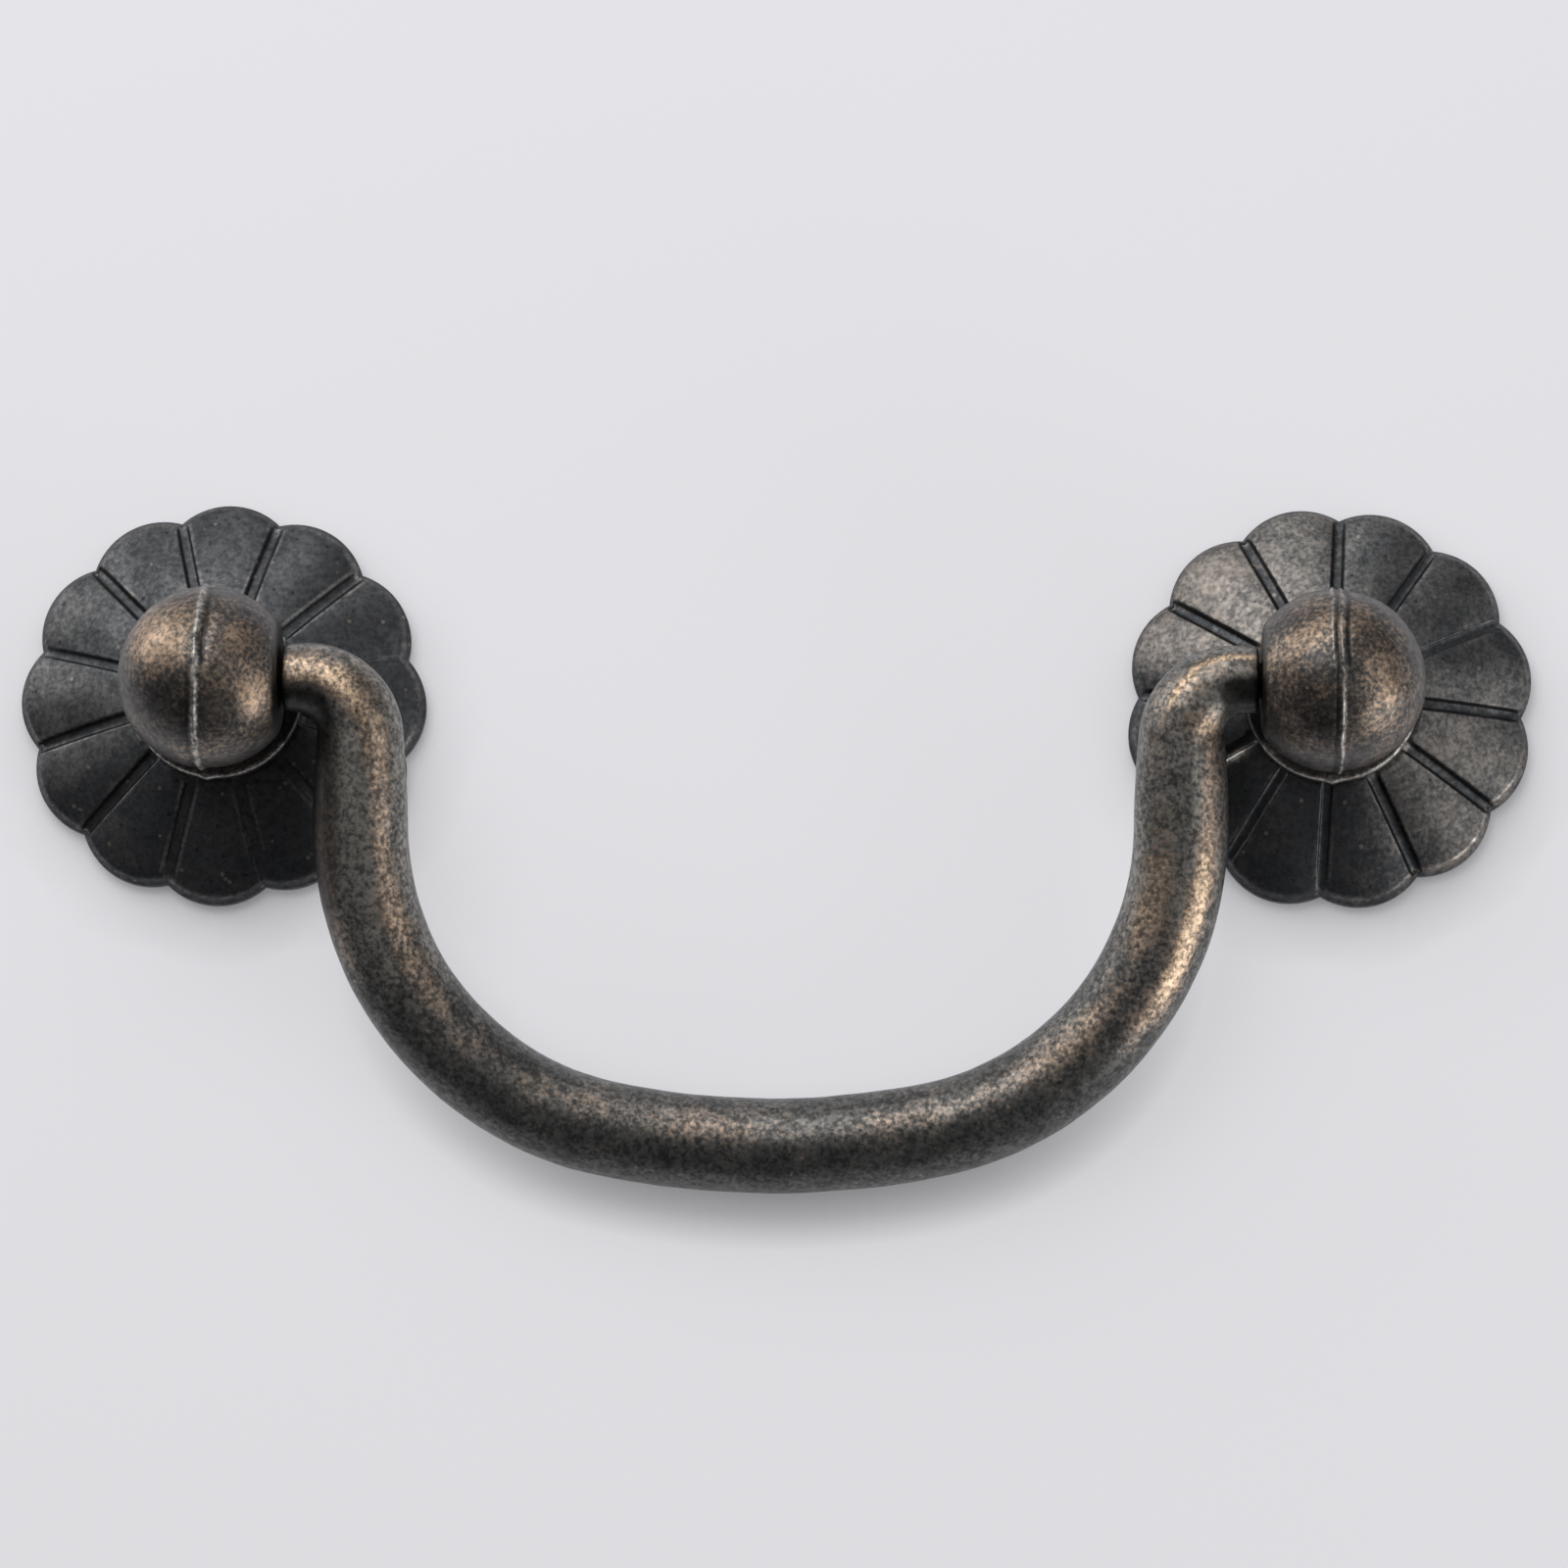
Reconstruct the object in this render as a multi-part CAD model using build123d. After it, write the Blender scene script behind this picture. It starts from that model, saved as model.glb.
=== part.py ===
"""Drawer pull: a swan-neck bail that swings between two ball posts on petal rosettes.

Everything is drawn in the face frame, as seen from in front of the drawer: X to the
right, Y up and Z out of the drawer front, with the origin midway between the two screw
holes. At the end it is stood up, so that the finished part has Z up and Y into the drawer.
Lengths are millimetres and angles are degrees.
"""

import os
from math import asin, cos, degrees, radians, sin, sqrt, tan

from build123d import *

# Fixing to the drawer
HOLE_SPACING = 96.0
SCREW_DRILL = 3.3
SCREW_DEPTH = 9.0
DRILL_POINT = 118.0

# Petal rosette
PETALS = 12
PETAL_TIP_RADIUS = 17.65
PETAL_RISE = 1.15
RIM_THICKNESS = 1.5
RIM_BEVEL = 0.5
SEAT_HEIGHT = 5.4
SEAT_MARGIN = 0.25
PETAL_CROWN = 0.3
SHELL_WALL = 1.7
RIM_LAND = 1.7
SPIGOT_CLEARANCE = 0.3
GROOVE_WIDTH = 1.1
GROOVE_DEPTH = 0.5
LEFT_ROSETTE_TURN = 14.0
RIGHT_ROSETTE_TURN = -3.0

# Ball post
BALL_DIAMETER = 15.4
FACET_DEPTH = 1.5
FACET_ROUND = 0.6
POST_NECK_DIAMETER = 11.2
POST_NECK_LENGTH = 1.1
COLLAR_DIAMETER = 15.0
COLLAR_THICKNESS = 1.6
COLLAR_ROUND = 0.4
SPIGOT_DIAMETER = 8.0
SEAM_WIDTH = 0.8
SEAM_HEIGHT = 0.25

# Hinge between the bail and the posts
PIN_DIAMETER = 3.0
PIN_LENGTH = 5.0
PIN_CLEARANCE = 0.08
PIN_END_GAP = 0.4
FACET_GAP = 0.3

# Bail
GRIP_DIAMETER = 8.1
NECK_END_DIAMETER = 5.6
NECK_RUN = 1.5
BEND_RADIUS = 5.0
TAPER_RUN = 7.0
TAPER_EASE = 1.5
LEG_RUN = 0.65
CORNER_RADIUS = 26.4
GRIP_SLOPE = 11.4
NECK_STATIONS = 7
REST_GAP = 0.1

# Places that follow from the sizes
half_spacing = HOLE_SPACING / 2
cusp_radius = PETAL_TIP_RADIUS - PETAL_RISE
spigot_radius = SPIGOT_DIAMETER / 2
collar_radius = COLLAR_DIAMETER / 2
collar_front = SEAT_HEIGHT + COLLAR_THICKNESS
seat_radius = collar_radius + SEAT_MARGIN
ball_radius = BALL_DIAMETER / 2
post_neck_radius = POST_NECK_DIAMETER / 2
ball_foot = collar_front + POST_NECK_LENGTH
pivot_height = ball_foot + sqrt(ball_radius**2 - post_neck_radius**2)
facet_distance = ball_radius - FACET_DEPTH
neck_end_x = half_spacing - facet_distance - FACET_GAP
leg_x = neck_end_x - NECK_RUN - BEND_RADIUS
neck_foot_y = -BEND_RADIUS - TAPER_RUN
corner_start_y = neck_foot_y - LEG_RUN
bottom_half_width = leg_x - CORNER_RADIUS * (1 - sin(radians(GRIP_SLOPE)))
bottom_radius = bottom_half_width / sin(radians(GRIP_SLOPE))
corner_depth = CORNER_RADIUS * cos(radians(GRIP_SLOPE))
bottom_bow = bottom_radius * (1 - cos(radians(GRIP_SLOPE)))
drop = -corner_start_y + corner_depth + bottom_bow
rest_lean = degrees(asin((pivot_height - GRIP_DIAMETER / 2 - REST_GAP) / drop))


def polar(radius, angle):
    """A point of the face plane, by radius and angle from the middle of a rosette."""
    return (radius * cos(radians(angle)), radius * sin(radians(angle)))


def petal_outline(inset=0.0):
    """The scalloped rim: one arc for each petal, from cusp to cusp through its tip."""
    pitch = 360 / PETALS
    arcs = []
    for index in range(PETALS):
        start = polar(cusp_radius - inset, index * pitch)
        tip = polar(PETAL_TIP_RADIUS - inset, (index + 0.5) * pitch)
        end = polar(cusp_radius - inset, (index + 1) * pitch)
        arcs.append(ThreePointArc(start, tip, end))
    return make_face(arcs)


def dome_section(lower):
    """Half of the rosette's outer section, from the axis to the rim, set down by lower."""
    top = SEAT_HEIGHT - lower
    rim = RIM_THICKNESS - lower
    crown = (top + rim) / 2 + PETAL_CROWN
    crown_radius = (seat_radius + PETAL_TIP_RADIUS) / 2
    edges = [
        Line((0, -lower), (PETAL_TIP_RADIUS, -lower)),
        Line((PETAL_TIP_RADIUS, -lower), (PETAL_TIP_RADIUS, rim)),
        ThreePointArc((PETAL_TIP_RADIUS, rim), (crown_radius, crown), (seat_radius, top)),
        Line((seat_radius, top), (0, top)),
        Line((0, top), (0, -lower)),
    ]
    return make_face(edges)


def petal_groove():
    """A cutter along the joint between two petals, over the X axis, with a curved floor."""
    bar = Box(
        PETAL_TIP_RADIUS - seat_radius,
        GROOVE_WIDTH,
        SEAT_HEIGHT,
        align=(Align.MIN, Align.CENTER, Align.MIN),
    )
    floor = revolve(Plane.XZ * dome_section(GROOVE_DEPTH), axis=Axis.Z)
    return Pos(seat_radius, 0, 0) * bar - floor


def make_rosette():
    """A dished casting with petals, standing on its rim, with a groove on the X axis."""
    hollow_reach = Rectangle(2 * (cusp_radius - RIM_LAND), 2 * SEAT_HEIGHT)
    section = dome_section(0) - (dome_section(SHELL_WALL) & hollow_reach)
    dish = revolve(Plane.XZ * section, axis=Axis.Z)
    straight = extrude(petal_outline(), amount=RIM_THICKNESS - RIM_BEVEL)
    bevel_start = Pos(0, 0, RIM_THICKNESS - RIM_BEVEL)
    bevel_end = Pos(0, 0, SEAT_HEIGHT)
    bevel_inset = SEAT_HEIGHT - RIM_THICKNESS + RIM_BEVEL
    bevelled = loft([bevel_start * petal_outline(), bevel_end * petal_outline(bevel_inset)])
    rosette = dish & (straight + bevelled)
    rosette -= Cylinder(spigot_radius + SPIGOT_CLEARANCE, 2 * SEAT_HEIGHT)
    return rosette - PolarLocations(0, PETALS) * petal_groove()


def post_stem():
    """The turned foot of the post: a spigot through the rosette, a collar and a short neck."""
    section = make_face(
        Polyline(
            (0, 0),
            (spigot_radius, 0),
            (spigot_radius, SEAT_HEIGHT),
            (collar_radius, SEAT_HEIGHT),
            (collar_radius, collar_front),
            (post_neck_radius, collar_front),
            (post_neck_radius, ball_foot),
            (0, pivot_height),
            close=True,
        )
    )
    collar_corners = section.vertices().filter_by_position(Axis.X, collar_radius, collar_radius)
    return revolve(Plane.XZ * fillet(collar_corners, COLLAR_ROUND), axis=Axis.Z)


def post_ball():
    """The ball about its own centre, with a flat facet on the left, towards the bail."""
    beyond_facet = Box(
        BALL_DIAMETER,
        BALL_DIAMETER,
        BALL_DIAMETER,
        align=(Align.MAX, Align.CENTER, Align.CENTER),
    )
    ball = Sphere(ball_radius) - Pos(-facet_distance, 0, 0) * beyond_facet
    return fillet(ball.faces().filter_by(Axis.X).edges(), FACET_ROUND)


def mould_seam():
    """The raised line that the two halves of the mould leave round the ball."""
    foot = ball_radius - SEAM_HEIGHT
    ridge = Polyline(
        (-SEAM_WIDTH / 2, 0),
        (SEAM_WIDTH / 2, 0),
        (SEAM_WIDTH / 2, foot),
        (0, ball_radius + SEAM_HEIGHT),
        (-SEAM_WIDTH / 2, foot),
        close=True,
    )
    ring = revolve(make_face(ridge), axis=Axis.X)
    above_collar = Box(
        BALL_DIAMETER,
        2 * BALL_DIAMETER,
        2 * BALL_DIAMETER,
        align=(Align.CENTER, Align.CENTER, Align.MIN),
    )
    return ring & Pos(0, 0, collar_front - pivot_height) * above_collar


def screw_hole():
    """A blind tapping hole, drilled from the back, with its drill point."""
    drill_radius = SCREW_DRILL / 2
    point_depth = drill_radius / tan(radians(DRILL_POINT / 2))
    section = make_face(
        Polyline(
            (0, 0),
            (drill_radius, 0),
            (drill_radius, SCREW_DEPTH),
            (0, SCREW_DEPTH + point_depth),
            close=True,
        )
    )
    return revolve(Plane.XZ * section, axis=Axis.Z)


def make_post():
    """A ball post for the right-hand end: its facet and pin hole face the bail, to the left."""
    post = post_stem() + Pos(0, 0, pivot_height) * (post_ball() + mould_seam())
    pin_mouth = Plane(origin=(-facet_distance, 0, pivot_height), z_dir=(1, 0, 0))
    pin_hole = Circle(PIN_DIAMETER / 2 + PIN_CLEARANCE)
    post -= extrude(pin_mouth * pin_hole, amount=PIN_LENGTH + PIN_END_GAP)
    return post - screw_hole()


def neck_radius_at(share):
    """The bail's radius along its neck, swelling from the pin's shoulder to the grip."""
    ease = 1 - (1 - share) ** TAPER_EASE
    return (NECK_END_DIAMETER + (GRIP_DIAMETER - NECK_END_DIAMETER) * ease) / 2


def swan_neck():
    """The right-hand neck: in from the post, round the bend and down to the leg."""
    run = Line((neck_end_x, 0), (leg_x + BEND_RADIUS, 0))
    bend = JernArc(run @ 1, run % 1, BEND_RADIUS, 90)
    taper = Line(bend @ 1, (leg_x, neck_foot_y))
    route = Wire([run, bend, taper])
    sections = []
    for index in range(NECK_STATIONS):
        share = index / (NECK_STATIONS - 1)
        station = Plane(origin=route @ share, x_dir=(0, 0, 1), z_dir=route % share)
        sections.append(station * Circle(neck_radius_at(share)))
    return loft(sections)


def grip_loop():
    """The legs, the two round corners and the gently bowed grip, in one sweep."""
    corner_turn = 90 - GRIP_SLOPE
    right_leg = Line((leg_x, neck_foot_y), (leg_x, corner_start_y))
    right_corner = JernArc(right_leg @ 1, right_leg % 1, CORNER_RADIUS, -corner_turn)
    bottom = JernArc(right_corner @ 1, right_corner % 1, bottom_radius, -2 * GRIP_SLOPE)
    left_corner = JernArc(bottom @ 1, bottom % 1, CORNER_RADIUS, -corner_turn)
    left_leg = Line(left_corner @ 1, (-leg_x, neck_foot_y))
    route = Wire([right_leg, right_corner, bottom, left_corner, left_leg])
    start = Plane(origin=route @ 0, x_dir=(0, 0, 1), z_dir=route % 0)
    return sweep(start * Circle(GRIP_DIAMETER / 2), path=route)


def make_bail():
    """The bail, hanging straight down, with its pin axis on the X axis."""
    pin_start = Plane(origin=(neck_end_x, 0, 0), z_dir=(1, 0, 0))
    pin = extrude(pin_start * Circle(PIN_DIAMETER / 2), amount=FACET_GAP + PIN_LENGTH)
    right_end = swan_neck() + pin
    return grip_loop() + right_end + mirror(right_end, about=Plane.YZ)


def main():
    left = Pos(-half_spacing, 0, 0)
    right = Pos(half_spacing, 0, 0)
    half_turn = Rot(0, 0, 180)
    hang = Pos(0, 0, pivot_height) * Rot(rest_lean, 0, 0)
    rosette = make_rosette()
    post = make_post()
    pieces = {
        "left_rosette": left * Rot(0, 0, LEFT_ROSETTE_TURN) * rosette,
        "right_rosette": right * Rot(0, 0, RIGHT_ROSETTE_TURN) * rosette,
        "left_post": left * half_turn * post,
        "right_post": right * post,
        "bail": hang * make_bail(),
    }
    stand_up = Rot(90, 0, 0)
    os.makedirs("parts", exist_ok=True)
    for name, piece in pieces.items():
        export_step(stand_up * piece, f"parts/{name}.step")


main()
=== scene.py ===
"""Antique drawer pull: a speckled bronze bail between two ball posts on dark petal rosettes.

Shapes are drawn in the face frame that the solids use: X to the right, Y up and Z out of
the drawer front, in millimetres, with the origin midway between the two screw holes.
to_world() turns them into metres with Z up and Y into the drawer.
"""

import math

import bmesh
import bpy
import numpy as np
from mathutils import Matrix, Vector, noise


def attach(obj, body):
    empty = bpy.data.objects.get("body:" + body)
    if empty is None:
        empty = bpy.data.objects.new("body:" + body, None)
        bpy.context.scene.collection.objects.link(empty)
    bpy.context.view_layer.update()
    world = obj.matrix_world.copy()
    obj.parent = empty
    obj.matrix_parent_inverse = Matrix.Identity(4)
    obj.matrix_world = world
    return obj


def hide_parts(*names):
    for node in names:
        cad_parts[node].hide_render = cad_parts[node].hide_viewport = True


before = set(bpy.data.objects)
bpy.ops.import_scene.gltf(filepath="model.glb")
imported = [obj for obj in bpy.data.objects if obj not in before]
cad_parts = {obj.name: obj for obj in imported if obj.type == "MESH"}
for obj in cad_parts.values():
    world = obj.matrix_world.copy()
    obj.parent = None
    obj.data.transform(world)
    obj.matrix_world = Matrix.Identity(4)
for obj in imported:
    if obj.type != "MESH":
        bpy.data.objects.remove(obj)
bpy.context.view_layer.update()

MM = 0.001

# Rosette sizes
HALF_SPACING = 48.0
SIDE_SIGN = {"left": -1, "right": 1}
PETALS = 12
TIP_RADIUS = 17.65
CUSP_RADIUS = 16.5
RIM_THICKNESS = 1.5
RIM_WALL = 1.0
RIM_BEVEL = 0.45
BEVEL_RISE = 0.2
BEVEL_SOFTNESS = 0.12
SEAT_HEIGHT = 5.4
SEAT_RADIUS = 7.75
PETAL_CROWN = 0.3
PETAL_BULGE = 0.06
PETAL_UNEVENNESS = 0.05
PETAL_UNEVEN_SCALE = 0.35
PETAL_UNEVEN_FADE = 2.0
SHELL_WALL = 1.7
HOLLOW_RADIUS = 14.8
SPIGOT_HOLE = 4.3
GROOVE_DEPTH = 0.5
GROOVE_FLOOR = 0.34
GROOVE_SLOPE = math.tan(math.radians(62))
GROOVE_SOFTNESS = 0.06
ROSETTE_TURN = {"left": 14.0, "right": -3.0}

# How fully each groove was struck, anticlockwise from the rosette's own X
GROOVE_CUTS = {
    "left": [0.35, 0.9, 0.8, 0.8, 1.0, 0.6, 1.0, 1.0, 0.6, 0.32, 0.4, 0.8],
    "right": [0.9, 0.5, 0.75, 0.9, 1.0, 1.0, 0.8, 1.0, 0.4, 0.52, 1.0, 1.0],
}
GROOVE_FADE = 4.0
GROOVE_FULLEST = 1.12
GROOVE_FAINTEST = 0.3

# Petals painted warmer and paler on the sides the lamps catch, a painted sheen: direction in degrees,
# spread, warmth and paleness
PETAL_SHEEN = {
    "left": [(120.0, 0.6, 0.0, 0.22), (170.0, 0.3, 0.0, 0.14), (205.0, 0.35, 0.0, 0.32)],
    "right": [(135.0, 0.5, 0.58, 0.55), (50.0, 0.6, 0.1, 0.42), (-35.0, 0.45, 0.42, 0.55)],
}

# A painted pool of light on one groove wall: centre, reach and strength, then how it follows the
# groove
LIT_GROOVE_WALL = ((39.7, -4.95, 4.9), 1.5, 1.0)
LIT_GROOVE_LINE = (-0.1, 0.5)
LIT_GROOVE_SHINE = 1.3

# Worn lips and rims, painted shade in the grooves and along the rim's edge, and a painted highlight on
# the rim. A line has its offset, width and strength.
FRONT_RIM_SHARE = 0.9
FRONT_DEPTH = 1.1
SEAT_FADE = 0.5
LIP_WEAR = 0.85
LIP_LINE = (-0.1, 0.16)
LIP_GAIN = 2.2
RIM_WEAR = (-0.55, 0.25, 0.75)
WEAR_LEVEL = 0.55
WEAR_LAYERS = ((0.7, 0.28),)
WEAR_SEED = 3
FOOT_SHADE = (-0.06, 0.14, 0.2)
GROOVE_SHADE = 0.12
GROOVE_SHADE_FADE = 0.7
SUNK_OFFSET = 0.05
SUNK_FADE = 0.15
SUNK_DULLING = 0.6
RIM_EDGE_SHADE = (-0.08, 0.24, 0.42)
# Painted highlight along the lower right of the rim bevel
RIM_HIGHLIGHT_BEARING = math.radians(-40)
RIM_HIGHLIGHT_GAIN = 3.0
RIM_HIGHLIGHT_FLOOR = 1.9

# Rows and columns of the rosette's mesh, in millimetres from the groove, the rim or the middle
BESIDE_GROOVE = (0.0, 0.17, 0.3, 0.36, 0.43, 0.5, 0.56, 0.61, 0.67, 0.76, 0.95)
PETAL_STEPS = 8
SEAT_ROWS = (SPIGOT_HOLE, 6.0, 7.3)
SLOPE_ROWS = 44
SLOPE_END = 1.4
NEAR_RIM = (1.2, 0.95, 0.74, 0.58, 0.46, 0.36, 0.28, 0.2, 0.13, 0.07, 0.03, 0.008)
RIM_SIDE_HEIGHTS = (0.99, 0.7, 0.4, 0.18)
RIM_BACK = ((0.06, 0.05), (0.2, 0.0), (0.7, 0.0))
HOLLOW_ROUND = 0.15
HOLLOW_LEDGE = 0.2
HOLLOW_START = 0.6
HOLLOW_ROWS = 10
HOLLOW_END = 6.4
SPIGOT_HOLE_EDGE = 0.1

# Ball post sizes
BALL_RADIUS = 7.7
FACET_DISTANCE = 6.2
FACET_SOFTNESS = 0.5
PIVOT_HEIGHT = 13.385
NECK_RADIUS = 5.6
COLLAR_RADIUS = 7.5
COLLAR_FRONT = 7.0
COLLAR_ROUND = 0.4
SPIGOT_RADIUS = 4.0
SCREW_RADIUS = 1.65
SCREW_DEPTH = 9.0
SCREW_POINT = 0.99
PIN_HOLE_RADIUS = 1.58
PIN_HOLE_DEPTH = 5.4
PIN_HOLE_EDGE = 0.15
FACET_KEPT = 0.6
BALL_UNEVENNESS = 0.006
BALL_UNEVEN_SCALE = 0.22
BALL_SEEDS = {"left": 11, "right": 12}
BALL_COLUMNS = 200
BALL_ROWS = 60
BALL_POLE = 0.02
STEM_COLUMNS = 144
STEM_EDGE = 0.3
COLLAR_INSIDE = 0.4
COLLAR_STEPS = 7
COLLAR_STEP = 15.0
NECK_FILLET = 0.3
NECK_FILLET_STEPS = 5
NECK_FILLET_STEP = 22.5
NECK_FOOT = 0.6
NECK_TOP = 8.4
STEM_INSIDE_BALL = ((4.6, 9.6), (2.5, 10.8))
STEM_TIP = 11.0
NUB_SHIFT = {"left": -0.75, "right": 0.0}
NUB_BAND = 1.5
NUB_WIDTH = 0.45
NUB_HEIGHT = 0.22

# Mould line over the ball: each line has an offset from the seam's middle, a width and a strength
SEAM_HEIGHT = 0.22
SEAM_HOLLOW = 0.08
SEAM_STEP = 0.1
SEAM_REACH = 1.6
SEAM_SEEDS = {"left": 4, "right": 40}
SEAM_SHINE = {"left": 1.0, "right": 0.85}
SEAM_ROWS = 44
SEAM_SPAN = 4.0
SEAM_EDGE = 0.05
SEAM_MOST = 1.15
SEAM_SPLIT = 0.6
SEAM_SPLIT_FADE = 0.25
SEAM_CROOKED = ((0.1, 0.5), (0.07, 1.6))
SEAM_LEVEL = 0.85
SEAM_SWELL = ((0.3, 0.6), (0.5, 1.8))
LEFT_SEAM_X = 0.3
LEFT_SEAM_LEAN = -0.03
LEFT_RIDGE = (0.0, 0.29, 1.0)
LEFT_UPPER_HOLLOW = (0.62, 0.26, 1.0)
LEFT_LOWER_HOLLOW = (-0.6, 0.3, 0.7)
RIGHT_SEAM_X = 0.45
RIGHT_GAP = (1.1, 0.5, 0.9)
RIGHT_FIRST_RIDGE = (0.8, 0.19, 0.85)
RIGHT_SECOND_RIDGE = (0.0, 0.18, 1.0)
RIGHT_SECOND_FALL = 0.2
RIGHT_BETWEEN = (0.4, 0.16, 0.75)
RIGHT_BESIDE = (-0.5, 0.26, 1.0)
RIGHT_LOWER_HOLLOW = (0.5, 0.25, 0.8)

# Finish of the posts, with painted shade in the neck's crevice, beside the seam and on the facet
BALL_FOOT = 1.2
BALL_FOOT_FADE = 1.5
BALL_SKIN = 1.0
COLLAR_WEAR = 0.8
COLLAR_WEAR_WIDTH = 0.3
COLLAR_WEAR_LINE = (0.2, 0.4)
CREVICE_LINE = (-0.5, 0.9)
CREVICE_INSET = 0.6
SEAM_SHADE = 0.95
SEAM_BARENESS = 0.8
FACET_SHADE = 0.9
FACET_SHADE_START = 0.45
FACET_SHADE_FADE = 0.3
BALL_RUB_LEVEL = 0.16
BALL_RUB_LAYERS = ((0.3, 0.2),)
BALL_RUB_SEEDS = {"left": 14, "right": 15}

# Rubbed copper patches on the balls, set where the lamps' highlights fall and so partly painted
# highlight: centre from the ball's middle, reach and strength
BALL_RUBS_AND_HIGHLIGHTS = {
    "left": [
        ((-3.8, 1.6, 6.3), 3.8, 0.56),
        ((4.5, -2.7, 5.8), 1.9, 0.56),
        ((2.8, 3.2, 6.4), 3.2, 0.3),
    ],
    "right": [
        ((3.7, -1.3, 6.6), 2.9, 0.44),
        ((3.6, 3.0, 6.0), 2.6, 0.22),
        ((-3.4, 2.0, 6.6), 3.6, 0.38),
    ],
}

# Darker patches on the balls; the low ones are painted shade on the balls' undersides
BALL_DARK_PATCHES = {
    "left": [((-2.4, -3.6, 6.0), 3.0, 0.45), ((1.0, 6.4, 4.0), 3.0, 0.3)],
    "right": [((-1.5, -4.6, 5.6), 3.0, 0.42), ((-1.0, 2.6, 7.0), 1.6, 0.12)],
}

# Rubbed copper spots on the necks' tops, laid where the lamps' highlights fall and so partly painted
# highlight, on top of the long bands
BAIL_RUBS_AND_HIGHLIGHTS = [
    ((-36.5, -1.5, 16.4), 3.4, 0.26),
    ((33.2, -1.4, 15.2), 2.4, 0.34),
]

# Bail sizes
PIN_RADIUS = 1.5
PIN_TIP_X = 46.8
NECK_END_X = 41.5
NECK_END_RADIUS = 2.8
GRIP_RADIUS = 4.05
LEG_X = 35.0
BEND_RADIUS = 5.0
TAPER_RUN = 7.0
TAPER_EASE = 1.5
LEG_RUN = 0.65
CORNER_RADIUS = 26.4
GRIP_SLOPE = math.radians(11.4)
REST_LEAN = math.radians(13.38)
RING_STEP = 0.35
RING_COLUMNS = 88
NECK_ROWS = 6
BEND_ROWS = 26
LEG_ROWS = 26
PIN_EDGE = 0.25
PIN_FOOT = 0.05
NECK_EDGE = 0.08
CASTING_LAYERS = ((0.07, 0.16), (0.03, 0.5))
CASTING_SEED = 21

# Rubbed copper bands on the bail, laid along the lamps' highlights and so partly painted highlight:
# how far round the section, how wide and how strong.
# Sideways is -1 on the outside of the bail and 1 on its inside; X and Y are in the face frame.
# A pair is where something starts to come in and how far it takes, downwards if negative.
FACING_GAIN = 3.0
RUB_LAYERS = ((0.7, 0.13), (0.4, 0.4))
RUB_SEED = 24
SPOT_GAIN = 2.0
SPOT_LEVEL = 0.7
PULLED_SHINE_INNER = 0.42
PULLED_SHINE_WIDTH = 0.4
PULLED_SHINE_STRENGTH = 0.38
PULLED_SHINE_MOST = 0.7
LEFT_LEG_PULLED_SHINE = 0.5
LEFT_NECK_SHIFT = -0.12
LEFT_LEG_SHIFT = 0.1
LEFT_NECK_WIDENING = 0.08
LEFT_LEG_WIDENING = -0.14
LEFT_BEND = (-2.0, -8.0)
LEFT_EDGE_OUTER = 0.8
LEFT_EDGE_WIDTH = 0.35
LEFT_EDGE_STRENGTH = 0.62
RIGHT_CORNER_PULLED_SHINE = 0.36
RIGHT_CORNER_X = 32.0
RIGHT_CORNER_REACH = 7.0
RIGHT_CORNER_TOP = -15.0
THUMBED_SHINE_OUTER = 0.51
THUMBED_SHINE_WIDTH = 0.3
THUMBED_SHINE_TOP_OUTER = 0.68
THUMBED_SHINE_TOP_WIDTH = 0.28
THUMBED_SHINE_BEND = (-5.0, -14.0)
THUMBED_SHINE_Y = -20.0
THUMBED_SHINE_REACH = 11.0
THUMBED_SHINE_LEVEL = 0.7
THUMBED_SHINE_SWELL = 0.3
THUMBED_SHINE_TOP = (-1.5, -3.0)
THUMBED_SHINE_FOOT = (-34.0, 8.0)
THUMBED_SHINE_GOLDEN = (-14.0, -5.0)
THUMBED_SHINE_DULL = 0.78
THUMBED_SHINE_GOLD = 0.22
THUMBED_SHINE_STRENGTH = 0.9
THUMBED_SHINE_MOTTLE = 0.25
BEND_PATCH = ((36.7, -4.3, 14.8), 1.9, 1.05)
RIDGE_INNER = 0.7
RIDGE_WIDTH = 0.12
RIDGE_START_X = 31.5
RIDGE_FOOT = (-4.0, 2.0)
RIDGE_BEND = (36.5, -4.0)
RIDGE_BEND_SHIFT = 0.35
RIDGE_STRENGTH = 0.8
RIDGE_MOTTLE = 0.25

# Greyed legs, and painted shade at the necks and under the grip
LEG_GREY = (-32.0, 14.0)
GREY_LEVEL = 0.06
LEFT_LEG_GREY = 0.78
LEFT_LEG_GREY_FALL = 0.45
RIGHT_LEG_GREY = 0.58
LEFT_END = (35.8, 2.2)
LEFT_END_SIDE = 0.1
LEFT_END_GAIN = 2.2
RIGHT_END = (37.8, 1.0)
RIGHT_END_SIDE = 0.25
RIGHT_END_GAIN = 4.0
RIGHT_END_EDGE = 0.97
RIGHT_END_EDGE_GAIN = 6.0
RIGHT_END_LEAST = 0.3
NECK_SHADE_INSET = 0.25
NECK_SHADE_FADE = 0.2
UNDERSIDE_TOP = {"left": -18.0, "right": -27.0}
UNDERSIDE_FADE = 7.0
UNDERSIDE_GAIN = 1.6
UNDERSIDE_START = 0.2
UNDERSIDE_SHADE = 0.45

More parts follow.
